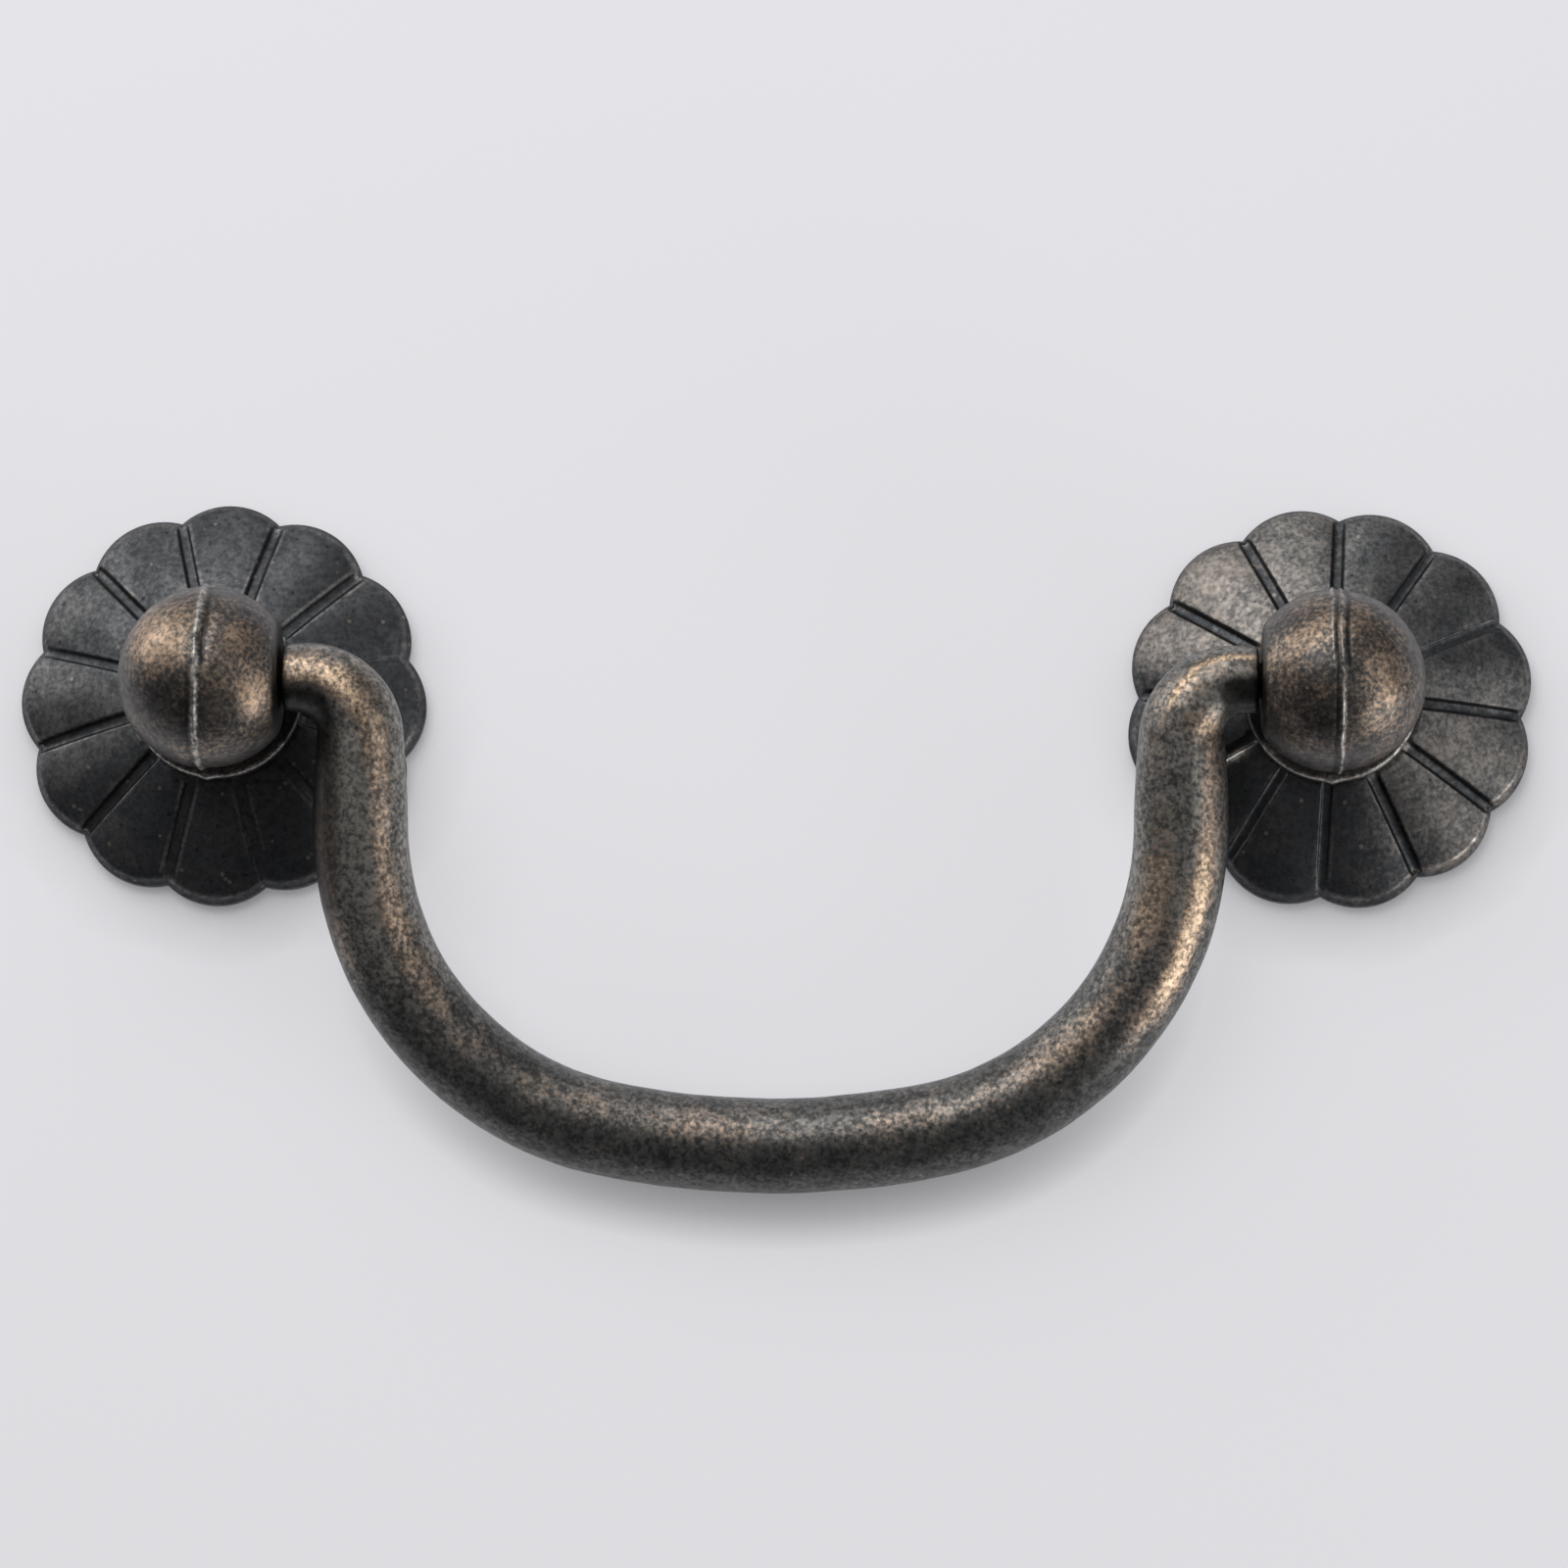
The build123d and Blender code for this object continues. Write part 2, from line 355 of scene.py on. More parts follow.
# Metal: scale, detail and roughness of its noises, spans of the painted wear and painted highlights,
# and its flecks
GRAIN = (1.5, 2.5, 0.6)
FINE_GRAIN = (2.7, 2.0, 0.6)
BLOTCHES = (0.3, 3.0, 0.55)
NOISE_MIDDLE = 0.5
BLOTCH_SHARE = 0.8
BARE_SPECKLE = 0.6
RUBBED_SPAN = (0.15, 0.85)
BRIGHT_SPAN = (0.65, 1.15)
BLOTCH_SPAN = (0.35, 0.65)
BRONZE_SPAN = (0.35, 0.7)
LEVEL_SPAN = (0.36, 0.64)
GLOSS_SPAN = (0.3, 0.7)
GLOSS_SWING = 0.05
GRAIN_SHARE = 0.55
FINE_SHARE = 0.45
SMOOTHING = 0.24
PAINTED_SHADE_TONE = 0.14
GLINT_SCALE = 0.85
GLINT_SHARE = 0.4
GLINT_SHINE = 0.8
PIT_SCALE = 0.95
PIT_SIZE = 0.2
PIT_SHARE = 0.4
PIT_TONE = 0.5
FLECK_CORE = 0.6
FLECK_FADE = 0.04
METALLIC = 0.92
LACQUER_ROUGHNESS = 0.38
BUMP_DEPTH = 0.00006

# Camera, as the photograph was taken
CAMERA_AIM = Vector((0.00079, 0.0, -0.00668))
CAMERA_DISTANCE = 0.65
CAMERA_AZIMUTH = math.radians(2.09)
CAMERA_ELEVATION = math.radians(-10.2)
CAMERA_ROLL = math.radians(0.56)
CAMERA_LENS = 172.1
CAMERA_SENSOR = 36.0
CAMERA_NEAR = 0.01

# Board, surround and lamps, in metres and watts; the board's holes are in millimetres
BACKDROP_SIZE = 0.7
BACKDROP_GAP = 0.0002
BACKDROP_HOLE = 15.9
BACKDROP_HOLE_SIDES = 72
BACKDROP_COLOUR = (0.755, 0.748, 0.785, 1.0)
BACKDROP_EVENING = 0.6
BACKDROP_GLOW = (0.897, 0.895, 0.926, 1.0)
BACKDROP_ROUGHNESS = 0.7
BACKDROP_SPECULAR = 0.2
CONTACT_REACH = 0.0055
CONTACT_SHADE = 0.1
CONTACT_SAMPLES = 3
CONTACT_LIGHT = (-0.25, -0.62, 0.74)
SURROUND_COLOUR = (0.76, 0.755, 0.785, 1.0)
SURROUND_LIGHT = 0.12
SURROUND_SEEN = 1.0
LAMP_AIM = Vector((0.0, 0.0, -0.01))

# Name, place, width, height and power of each lamp
LAMPS = [
    ("key_light", (-0.148, -0.407, 0.26), 0.34, 0.34, 1.3),
    ("top_light", (0.02, -0.235, 0.44), 0.3, 0.24, 0.35),
    ("right_light", (0.426, -0.1, -0.25), 0.26, 0.26, 0.85),
    ("left_light", (-0.426, -0.1, 0.27), 0.26, 0.3, 0.75),
    ("fill_light", (0.383, -0.321, 0.0), 0.34, 0.34, 0.35),
    ("back_light", (-0.12, 0.5, 0.32), 0.5, 0.5, 2.4),
]


def to_world(points):
    """Face-frame millimetres to metres in the shared frame."""
    points = np.asarray(points, dtype=float)
    return np.stack([points[..., 0], -points[..., 2], points[..., 1]], axis=-1) * MM


def to_face(points):
    """Metres in the shared frame back to face-frame millimetres."""
    return np.stack([points[..., 0], points[..., 2], -points[..., 1]], axis=-1) / MM


def smooth_min(a, b, soft):
    """The lower of two heights, with the corner between them rounded over."""
    share = unit(0.5 + 0.5 * (b - a) / soft)
    return b * (1 - share) + a * share - soft * share * (1 - share)


def unit(values):
    """The values held between 0 and 1."""
    return np.clip(values, 0, 1)


def bell(value, width):
    """A soft bump of height 1 round zero."""
    return np.exp(-((value / width) ** 2))


def ramp(value, start, run):
    """Goes from 0 to 1 as the value goes from start along the run, which is negative downwards."""
    return unit((value - start) / run)


def mark(value, offset, width, strength=1.0):
    """A soft line where the value plus the offset is zero."""
    return strength * bell(value + offset, width)


def rotate(first, second, angle):
    """Two coordinates turned about the third axis."""
    along = first * math.cos(angle) - second * math.sin(angle)
    return along, first * math.sin(angle) + second * math.cos(angle)


def wander(points, scale, seed):
    """Smooth random values from about -1 to 1 at the given points, the same in each run."""
    shift = Vector((17.3 * seed, -9.1 * seed, 5.7 * seed))
    flat = np.asarray(points).reshape(-1, 3)
    values = [noise.noise(Vector(point) * scale + shift) for point in flat]
    return np.array(values).reshape(np.asarray(points).shape[:-1])


def layered(points, level, layers, seed):
    """A level with smooth random layers on it, each with its size and its fineness."""
    total = level
    for step, (size, scale) in enumerate(layers):
        total = total + size * wander(points, scale, seed + step)
    return total


def add_object(name, data):
    """Puts an object with this data into the scene."""
    piece = bpy.data.objects.new(name, data)
    bpy.context.scene.collection.objects.link(piece)
    return piece


def skin(name, grid, first=None, last=None, loop=False):
    """An object over a grid of face-frame points whose columns run right round.

    first and last close the ends with a point; loop joins the last row to the first.
    """
    rows, columns, _ = grid.shape
    index = np.arange(rows * columns).reshape(rows, columns)
    upper = np.roll(index, -1, axis=0) if loop else index[1:]
    lower = index if loop else index[:-1]
    across = np.stack(
        [lower, np.roll(lower, -1, axis=1), np.roll(upper, -1, axis=1), upper], axis=-1
    )
    faces = across.reshape(-1, 4).tolist()
    points = grid.reshape(-1, 3).tolist()
    for tip, row, order in ((first, 0, 1), (last, rows - 1, -1)):
        if tip is None:
            continue
        pole = len(points)
        points.append(list(tip))
        ring = index[row]
        after = np.roll(ring, -1)
        for here, there in zip(ring.tolist(), after.tolist()):
            faces.append((pole, there, here) if order > 0 else (pole, here, there))
    mesh = bpy.data.meshes.new(name)
    mesh.from_pydata(to_world(np.array(points)).tolist(), [], faces)
    tidy_mesh(mesh)
    return add_object(name, mesh)


def tidy_mesh(mesh):
    """Turns every face outwards and shades the mesh smoothly."""
    work = bmesh.new()
    work.from_mesh(mesh)
    bmesh.ops.recalc_face_normals(work, faces=work.faces)
    work.to_mesh(mesh)
    work.free()
    mesh.shade_smooth()


def face_points(piece):
    """The piece's vertices in face-frame millimetres."""
    mesh = piece.data
    flat = np.empty(len(mesh.vertices) * 3)
    mesh.vertices.foreach_get("co", flat)
    return to_face(flat.reshape(-1, 3))


def soft_patches(points, spots):
    """Soft patches for worn finish, painted highlights and painted shade: centre, reach and strength
    of each.
    """
    total = np.zeros(len(points))
    for centre, reach, strength in spots:
        away = np.linalg.norm(points - np.array(centre), axis=1)
        total += strength * bell(away, reach)
    return total


def paint(piece, name, values):
    """Keeps one number per vertex for the material to read."""
    layer = piece.data.attributes.new(name, "FLOAT", "POINT")
    layer.data.foreach_set("value", unit(values).astype(np.float32))


# Rosettes


def petal_angle(angle):
    """Signed angle from the middle of the petal that holds a direction, groove at +-pitch/2."""
    pitch = 2 * math.pi / PETALS
    return np.mod(angle, pitch) - pitch / 2


def rim_radius(angle):
    """The scalloped outline: one arc per petal, through its tip and both cusps."""
    half_pitch = math.pi / PETALS
    top = TIP_RADIUS**2 - CUSP_RADIUS**2
    centre = top / (2 * (TIP_RADIUS - CUSP_RADIUS * math.cos(half_pitch)))
    arc = TIP_RADIUS - centre
    turn = petal_angle(angle)
    return centre * np.cos(turn) + np.sqrt(arc**2 - (centre * np.sin(turn)) ** 2)


def dome_height(radius, outer=TIP_RADIUS):
    """The petals' slope from the seat down to the rim, slightly crowned."""
    share = unit((radius - SEAT_RADIUS) / (outer - SEAT_RADIUS))
    fall = SEAT_HEIGHT + (RIM_THICKNESS - SEAT_HEIGHT) * share
    return fall + 4 * PETAL_CROWN * share * (1 - share)


def groove_distance(radius, angle):
    """Distance across the petals to the nearest groove's centre line."""
    from_groove = math.pi / PETALS - np.abs(petal_angle(angle))
    return radius * np.sin(from_groove)


def groove_cut(radius, angle, side):
    """Share of the full depth of the nearest groove; weak grooves fade out towards the rim."""
    pitch = 2 * math.pi / PETALS
    nearest = np.round(angle / pitch).astype(int) % PETALS
    cut = np.array(GROOVE_CUTS[side])[nearest]
    edge = np.clip(rim_radius(angle) - radius, 0, None)
    fade = GROOVE_FADE * (GROOVE_FULLEST - cut)
    return cut * np.clip(edge / fade, GROOVE_FAINTEST, 1)


def petal_height(radius, angle, side):
    """Height of the front of the rosette: petals, the bevel round their ends and the grooves."""
    outline = rim_radius(angle)
    edge = np.clip(outline - radius, 0, None)
    bevel = RIM_WALL + edge * (RIM_THICKNESS + BEVEL_RISE - RIM_WALL) / RIM_BEVEL
    across = groove_distance(radius, angle)
    middle = radius * math.sin(math.pi / PETALS)
    bulge = PETAL_BULGE * (1 - (1 - across / middle) ** 2)
    petal = dome_height(radius, outline)
    height = smooth_min(petal + bulge, bevel, BEVEL_SOFTNESS)
    depth = GROOVE_DEPTH * groove_cut(radius, angle, side)
    wall = petal - depth + np.clip(across - GROOVE_FLOOR, 0, None) * GROOVE_SLOPE
    return smooth_min(height, np.maximum(wall, RIM_WALL), GROOVE_SOFTNESS)


def petal_columns(radius):
    """Directions of the grid's columns at one radius: close together beside each groove."""
    half_pitch = math.pi / PETALS
    offsets = np.arcsin(np.array(BESIDE_GROOVE) / radius)
    spread = np.linspace(offsets[-1], half_pitch, PETAL_STEPS)[1:]
    rising = np.concatenate([offsets, spread])
    falling = 2 * half_pitch - rising[-2:0:-1]
    petal = np.concatenate([rising, falling])
    turns = [petal + index * 2 * half_pitch for index in range(PETALS)]
    return np.concatenate(turns)


def closed_row(angle, radius, height):
    """One closed row of points from their directions, radii and heights."""
    level = np.broadcast_to(height, angle.shape)
    return np.stack([radius * np.cos(angle), radius * np.sin(angle), level], axis=-1)


def petal_row(reach, side):
    """One closed row on the petals, at a share of the way from the seat to the rim."""
    nominal = SEAT_RADIUS + reach * (0.5 * (TIP_RADIUS + CUSP_RADIUS) - SEAT_RADIUS)
    angle = petal_columns(nominal)
    radius = SEAT_RADIUS + reach * (rim_radius(angle) - SEAT_RADIUS)
    return closed_row(angle, radius, petal_height(radius, angle, side))


def round_row(radius, height):
    """One closed row of constant radius and height."""
    return closed_row(petal_columns(radius), radius, height)


def rim_row(inset, height):
    """One closed row that follows the scalloped rim."""
    angle = petal_columns(0.5 * (TIP_RADIUS + CUSP_RADIUS))
    return closed_row(angle, rim_radius(angle) - inset, height)


def make_rosette(side, seed):
    """A dished rosette with its petals, turned and set on its own screw hole."""
    slope = TIP_RADIUS - SEAT_RADIUS
    down_slope = np.linspace(0, 1 - SLOPE_END / slope, SLOPE_ROWS)
    reaches = np.concatenate([down_slope, 1 - np.array(NEAR_RIM) / slope])
    rows = [round_row(radius, SEAT_HEIGHT) for radius in SEAT_ROWS]
    rows += [petal_row(reach, side) for reach in reaches]
    rows += [rim_row(0, height) for height in RIM_SIDE_HEIGHTS]
    rows += [rim_row(inset, height) for inset, height in RIM_BACK]
    ledge = dome_height(np.array(HOLLOW_RADIUS)) - SHELL_WALL
    rows.append(round_row(HOLLOW_RADIUS + HOLLOW_ROUND, 0.0))
    rows.append(round_row(HOLLOW_RADIUS, HOLLOW_ROUND))
    rows.append(round_row(HOLLOW_RADIUS, ledge - HOLLOW_LEDGE))
    rows.append(round_row(HOLLOW_RADIUS - HOLLOW_ROUND, ledge))
    for radius in np.linspace(HOLLOW_RADIUS - HOLLOW_START, SEAT_RADIUS, HOLLOW_ROWS):
        rows.append(round_row(radius, dome_height(np.array(radius)) - SHELL_WALL))
    floor = SEAT_HEIGHT - SHELL_WALL
    rows.append(round_row(HOLLOW_END, floor))
    rows.append(round_row(SPIGOT_HOLE + SPIGOT_HOLE_EDGE, floor))
    rows.append(round_row(SPIGOT_HOLE, floor + SPIGOT_HOLE_EDGE))
    grid = np.array(rows)
    away = np.hypot(grid[..., 0], grid[..., 1])
    on_petals = ramp(away, SEAT_RADIUS, PETAL_UNEVEN_FADE) * (grid[..., 2] > RIM_WALL)
    grid[..., 2] += PETAL_UNEVENNESS * on_petals * wander(grid, PETAL_UNEVEN_SCALE, seed)
    turn = math.radians(ROSETTE_TURN[side])
    x, y = rotate(grid[..., 0], grid[..., 1], turn)
    spun = np.stack([x + SIDE_SIGN[side] * HALF_SPACING, y, grid[..., 2]], axis=-1)
    piece = skin(f"{side}_petal_rosette", spun, loop=True)
    paint_rosette(piece, side, turn)
    return piece


def paint_rosette(piece, side, turn):
    """Wear on the rim and the lips of the grooves, painted shade in the grooves and at the rim's edge,
    and painted sheen and highlights on some petals, the rim and one groove wall.
    """
    points = face_points(piece)
    x = points[:, 0] - SIDE_SIGN[side] * HALF_SPACING
    y = points[:, 1]
    radius = np.hypot(x, y)
    bearing = np.arctan2(y, x)
    angle = bearing - turn
    back = np.maximum(RIM_WALL * FRONT_RIM_SHARE, dome_height(radius) - FRONT_DEPTH)
    front = points[:, 2] > back
    across = groove_distance(radius, angle)
    groove_edge = GROOVE_FLOOR + GROOVE_DEPTH / GROOVE_SLOPE
    cut = groove_cut(radius, angle, side)
    lip = mark(across - groove_edge, *LIP_LINE) * unit(LIP_GAIN * cut)
    edge = rim_radius(angle) - radius
    rim = mark(edge, *RIM_WEAR)
    on_slope = ramp(radius, SEAT_RADIUS, SEAT_FADE)
    patchy = layered(points, WEAR_LEVEL, WEAR_LAYERS, WEAR_SEED)
    wear_and_sheen = np.maximum(lip * on_slope * LIP_WEAR, rim) * patchy * front
    # Painted shade along the groove floors and their feet, and a dark line at the rim's edge
    foot = mark(across - GROOVE_FLOOR, *FOOT_SHADE)
    sunk = unit((groove_edge + SUNK_OFFSET - across) / SUNK_FADE) * on_slope * front
    painted_shade = cut * sunk * (GROOVE_SHADE + foot) * unit(edge / GROOVE_SHADE_FADE)
    painted_shade = np.maximum(painted_shade, mark(edge, *RIM_EDGE_SHADE))
    # Painted sheen: petals on the sides the lamps catch are made warmer and paler
    warm_sheen = np.zeros(len(points))
    pale = np.zeros(len(points))
    for direction, spread, warmth, paleness in PETAL_SHEEN[side]:
        towards = unit((np.cos(bearing - math.radians(direction)) - 1) / spread + 1)
        warm_sheen += warmth * towards
        pale += paleness * towards
    tone = front * (1 - SUNK_DULLING * sunk)
    if side == "right":
        # Painted pool of light on one groove wall, with the painted shade taken out there
        lit_wall = soft_patches(points, [LIT_GROOVE_WALL])
        lit_wall *= mark(across - groove_edge, *LIT_GROOVE_LINE)
        lit_wall *= petal_angle(angle) < 0
        wear_and_sheen = np.maximum(wear_and_sheen, lit_wall)
        painted_shade *= 1 - lit_wall
        # Painted highlight in copper along the lower right of the rim bevel
        lower_right = np.cos(bearing - RIM_HIGHLIGHT_BEARING)
        rim_highlight = rim * unit(lower_right * RIM_HIGHLIGHT_GAIN - RIM_HIGHLIGHT_FLOOR)
        warm_sheen = np.maximum(warm_sheen * tone, np.maximum(rim_highlight, LIT_GROOVE_SHINE * lit_wall))
    # Worn lips and rim together with the painted sheen of the paler petals
    paint(piece, "wear_and_sheen", np.maximum(wear_and_sheen, pale * tone))
    paint(piece, "painted_shade", painted_shade)
    paint(piece, "rub_and_highlight", warm_sheen * front)


# Posts


def ring_about_x(x, distance, columns):
    """A closed row round the pin axis, in the ball's own frame."""
    turn = np.linspace(0, 2 * math.pi, columns, endpoint=False)
    level = np.full_like(turn, x)
    return np.stack([level, distance * np.cos(turn), distance * np.sin(turn)], axis=-1)


def seam_lines(x, turn, side):
    """The mould's flash line over the ball: its ridge, the hollow beside it and the step across it.

    The left ball has a single beaded ridge; the right one's is split above and broken at the middle.
    """
    up = BALL_RADIUS * np.cos(turn)
    ring = np.stack([np.cos(turn), np.sin(turn), np.zeros_like(turn)], axis=-1) * BALL_RADIUS
    seed = SEAM_SEEDS[side]
    crooked = layered(ring, 0.0, SEAM_CROOKED, seed)
    swell = layered(ring, SEAM_LEVEL, SEAM_SWELL, seed + len(SEAM_CROOKED))
    above = 1 / (1 + np.exp(-(up + SEAM_SPLIT) / SEAM_SPLIT_FADE))
    if side == "left":
        beside = x - (LEFT_SEAM_X + LEFT_SEAM_LEAN * up + crooked)
        ridge = mark(beside, *LEFT_RIDGE) * swell
        hollow = mark(beside, *LEFT_UPPER_HOLLOW) * above
        hollow = hollow + mark(beside, *LEFT_LOWER_HOLLOW) * (1 - above)
        step = 1 / (1 + np.exp(-beside / SEAM_EDGE))
    else:
        beside = x - (RIGHT_SEAM_X + crooked)
        gap = 1 - mark(up, *RIGHT_GAP)
        first = mark(beside, *RIGHT_FIRST_RIDGE) * above
        second = mark(beside, *RIGHT_SECOND_RIDGE) * gap * (1 - RIGHT_SECOND_FALL * above)
        ridge = np.maximum(first, second) * swell
        between = mark(beside, *RIGHT_BETWEEN) + mark(beside, *RIGHT_BESIDE)
        hollow = between * above + mark(beside, *RIGHT_LOWER_HOLLOW) * (1 - above)
        step = 1 / (1 + np.exp(beside / SEAM_EDGE))
    return np.clip(ridge, 0, SEAM_MOST), unit(hollow), step


def make_ball(side):
    """The ball with its facet, pin hole and mould line, round the pin axis."""
    columns = BALL_COLUMNS
    hole_end = -FACET_DISTANCE + PIN_HOLE_DEPTH
    rows = [ring_about_x(hole_end, PIN_HOLE_RADIUS, columns)]
    rows.append(ring_about_x(-FACET_DISTANCE + PIN_HOLE_EDGE, PIN_HOLE_RADIUS, columns))
    start = math.asin((PIN_HOLE_RADIUS + PIN_HOLE_EDGE) / BALL_RADIUS)
    seam = SEAM_REACH / BALL_RADIUS
    before = np.linspace(start, math.pi / 2 - seam, BALL_ROWS)
    along = np.linspace(math.pi / 2 - seam, math.pi / 2 + seam, SEAM_ROWS)[1:-1]
    beyond = np.linspace(math.pi / 2 + seam, math.pi - BALL_POLE, BALL_ROWS)
    for slant in np.concatenate([before, along, beyond]):
        x = -BALL_RADIUS * math.cos(slant)
        row = ring_about_x(0.0, 1.0, columns)
        turn = np.arctan2(row[:, 2], row[:, 1])
        lift = np.zeros(columns)
        if abs(x) < SEAM_SPAN:
            ridge, hollow, step = seam_lines(np.full(columns, x), turn, side)
            lift = SEAM_HEIGHT * ridge - SEAM_HOLLOW * hollow + SEAM_STEP * step
            lift *= 1 - (x / SEAM_SPAN) ** 2
        away = BALL_RADIUS * math.sin(slant) + lift
        row[:, 0] = -smooth_min(-x, FACET_DISTANCE, FACET_SOFTNESS)
        row[:, 1] *= away
        row[:, 2] *= away
        rows.append(row)
    grid = np.array(rows)
    free = unit((grid[..., 0] + FACET_DISTANCE) / FACET_KEPT)
    uneven = BALL_UNEVENNESS * free * wander(grid, BALL_UNEVEN_SCALE, BALL_SEEDS[side])
    grid += grid * uneven[..., None]
    return grid, (hole_end, 0, 0), (BALL_RADIUS, 0, 0)


def stem_profile():
    """Radius and height along the foot: screw hole, spigot, collar, and the neck into the ball."""
    profile = [(SCREW_RADIUS, SCREW_DEPTH), (SCREW_RADIUS, STEM_EDGE), (SCREW_RADIUS + STEM_EDGE, 0.0)]
    profile += [(SPIGOT_RADIUS - STEM_EDGE, 0.0), (SPIGOT_RADIUS, STEM_EDGE)]
    profile += [(SPIGOT_RADIUS, SEAT_HEIGHT), (SPIGOT_RADIUS + COLLAR_INSIDE, SEAT_HEIGHT)]
    inner = COLLAR_RADIUS - COLLAR_ROUND
    for step in range(COLLAR_STEPS):
        turn = math.radians(-90 + COLLAR_STEP * step)
        height = SEAT_HEIGHT + COLLAR_ROUND * (1 + math.sin(turn))
        profile.append((inner + COLLAR_ROUND * math.cos(turn), height))
    for step in range(COLLAR_STEPS):
        turn = math.radians(COLLAR_STEP * step)
        height = COLLAR_FRONT - COLLAR_ROUND * (1 - math.sin(turn))
        profile.append((inner + COLLAR_ROUND * math.cos(turn), height))
    for step in range(NECK_FILLET_STEPS):
        turn = math.radians(90 - NECK_FILLET_STEP * step)
        height = COLLAR_FRONT + NECK_FILLET * (1 - math.sin(turn))
        profile.append((NECK_RADIUS + NECK_FILLET * (1 - math.cos(turn)), height))
    profile += [(NECK_RADIUS, COLLAR_FRONT + NECK_FOOT), (NECK_RADIUS, NECK_TOP)]
    return profile + list(STEM_INSIDE_BALL)


def make_stem(side):
    """The turned foot, with the small nub that the mould leaves on its collar."""
    turn = np.linspace(0, 2 * math.pi, STEM_COLUMNS, endpoint=False)
    rows = []
    for radius, height in stem_profile():
        reach = np.full(STEM_COLUMNS, radius)
        if radius > COLLAR_RADIUS - NUB_BAND and height >= SEAT_HEIGHT + COLLAR_ROUND:
            reach = reach + NUB_HEIGHT * bell(np.cos(turn) * radius - NUB_SHIFT[side], NUB_WIDTH)
        rows.append(closed_row(turn, reach, height))
    return np.array(rows), (0, 0, SCREW_DEPTH + SCREW_POINT), (0, 0, STEM_TIP)


def make_post(side):
    """One ball post: the ball and its foot joined into one skin."""
    way = SIDE_SIGN[side]
    centre = np.array([way * HALF_SPACING, 0, 0])
    flip = np.array([way, 1, 1])
    raised = np.array([0, 0, PIVOT_HEIGHT])
    ball_parts = [np.array(part) * flip + raised + centre for part in make_ball(side)]
    ball = skin(f"{side}_ball_post", *ball_parts)
    stem_parts = [np.array(part) + centre for part in make_stem(side)]
    stem = skin(f"{side}_stem", *stem_parts)
    join = ball.modifiers.new("join", "BOOLEAN")
    join.operation = "UNION"
    join.solver = "EXACT"
    join.object = stem
    scene_graph = bpy.context.evaluated_depsgraph_get()
    joined = bpy.data.meshes.new_from_object(ball.evaluated_get(scene_graph))
    ball.modifiers.clear()
    ball.data = joined
    bpy.data.objects.remove(stem)
    tidy_mesh(joined)
    paint_post(ball, side)
    return ball


def paint_post(piece, side):
    """Rubbed copper and painted highlights on the front of the ball, worn seam and collar edges, and
    painted shade beside the seam, in the neck's crevice, on the facet and low on the ball.
    """
    way = SIDE_SIGN[side]
    points = face_points(piece)
    x = points[:, 0] - way * HALF_SPACING
    y = points[:, 1]
    z = points[:, 2] - PIVOT_HEIGHT
    away = np.sqrt(x**2 + y**2 + z**2)
    height = points[:, 2]
    across = np.hypot(x, y)
    on_ball = unit((height - COLLAR_FRONT - BALL_FOOT) / BALL_FOOT_FADE)
    ridge, hollow, _ = seam_lines(x * way, np.arctan2(z, y), side)
    near_seam = on_ball * (np.abs(x) < SEAM_REACH) * (away > BALL_RADIUS - BALL_SKIN)
    collar = bell(across - COLLAR_RADIUS, COLLAR_WEAR_WIDTH)
    collar *= mark(height - COLLAR_FRONT, *COLLAR_WEAR_LINE)
    paint(piece, "wear_and_sheen", np.maximum(SEAM_SHINE[side] * ridge * near_seam, collar * COLLAR_WEAR))
    # Painted shade in the crevice where the neck meets the collar
    crevice = mark(height - COLLAR_FRONT, *CREVICE_LINE)
    crevice *= across < COLLAR_RADIUS - CREVICE_INSET
    from_middle = np.column_stack([x, y, z])
    dark_patches = soft_patches(from_middle, BALL_DARK_PATCHES[side])
    # Painted shade in the hollow beside the seam, and darker patches, the low ones painted shade on
    # the ball's underside
    shaded = np.maximum(SEAM_SHADE * hollow * near_seam, dark_patches * on_ball)
    # Painted shade on the facet where the bail's neck meets the ball
    facet = unit((-x * way - FACET_DISTANCE + FACET_SHADE_START) / FACET_SHADE_FADE)
    paint(piece, "painted_shade", np.maximum(np.maximum(shaded, crevice), FACET_SHADE * facet))
    patchy = layered(points, BALL_RUB_LEVEL, BALL_RUB_LAYERS, BALL_RUB_SEEDS[side])
    # Rubbed copper patches, set where the lamps' highlights fall, so partly painted highlight
    rub_and_shine = soft_patches(from_middle, BALL_RUBS_AND_HIGHLIGHTS[side])
    off_seam = 1 - SEAM_BARENESS * np.minimum(ridge, 1) * near_seam
    paint(piece, "rub_and_highlight", (patchy + rub_and_shine) * on_ball * off_seam)


# Bail


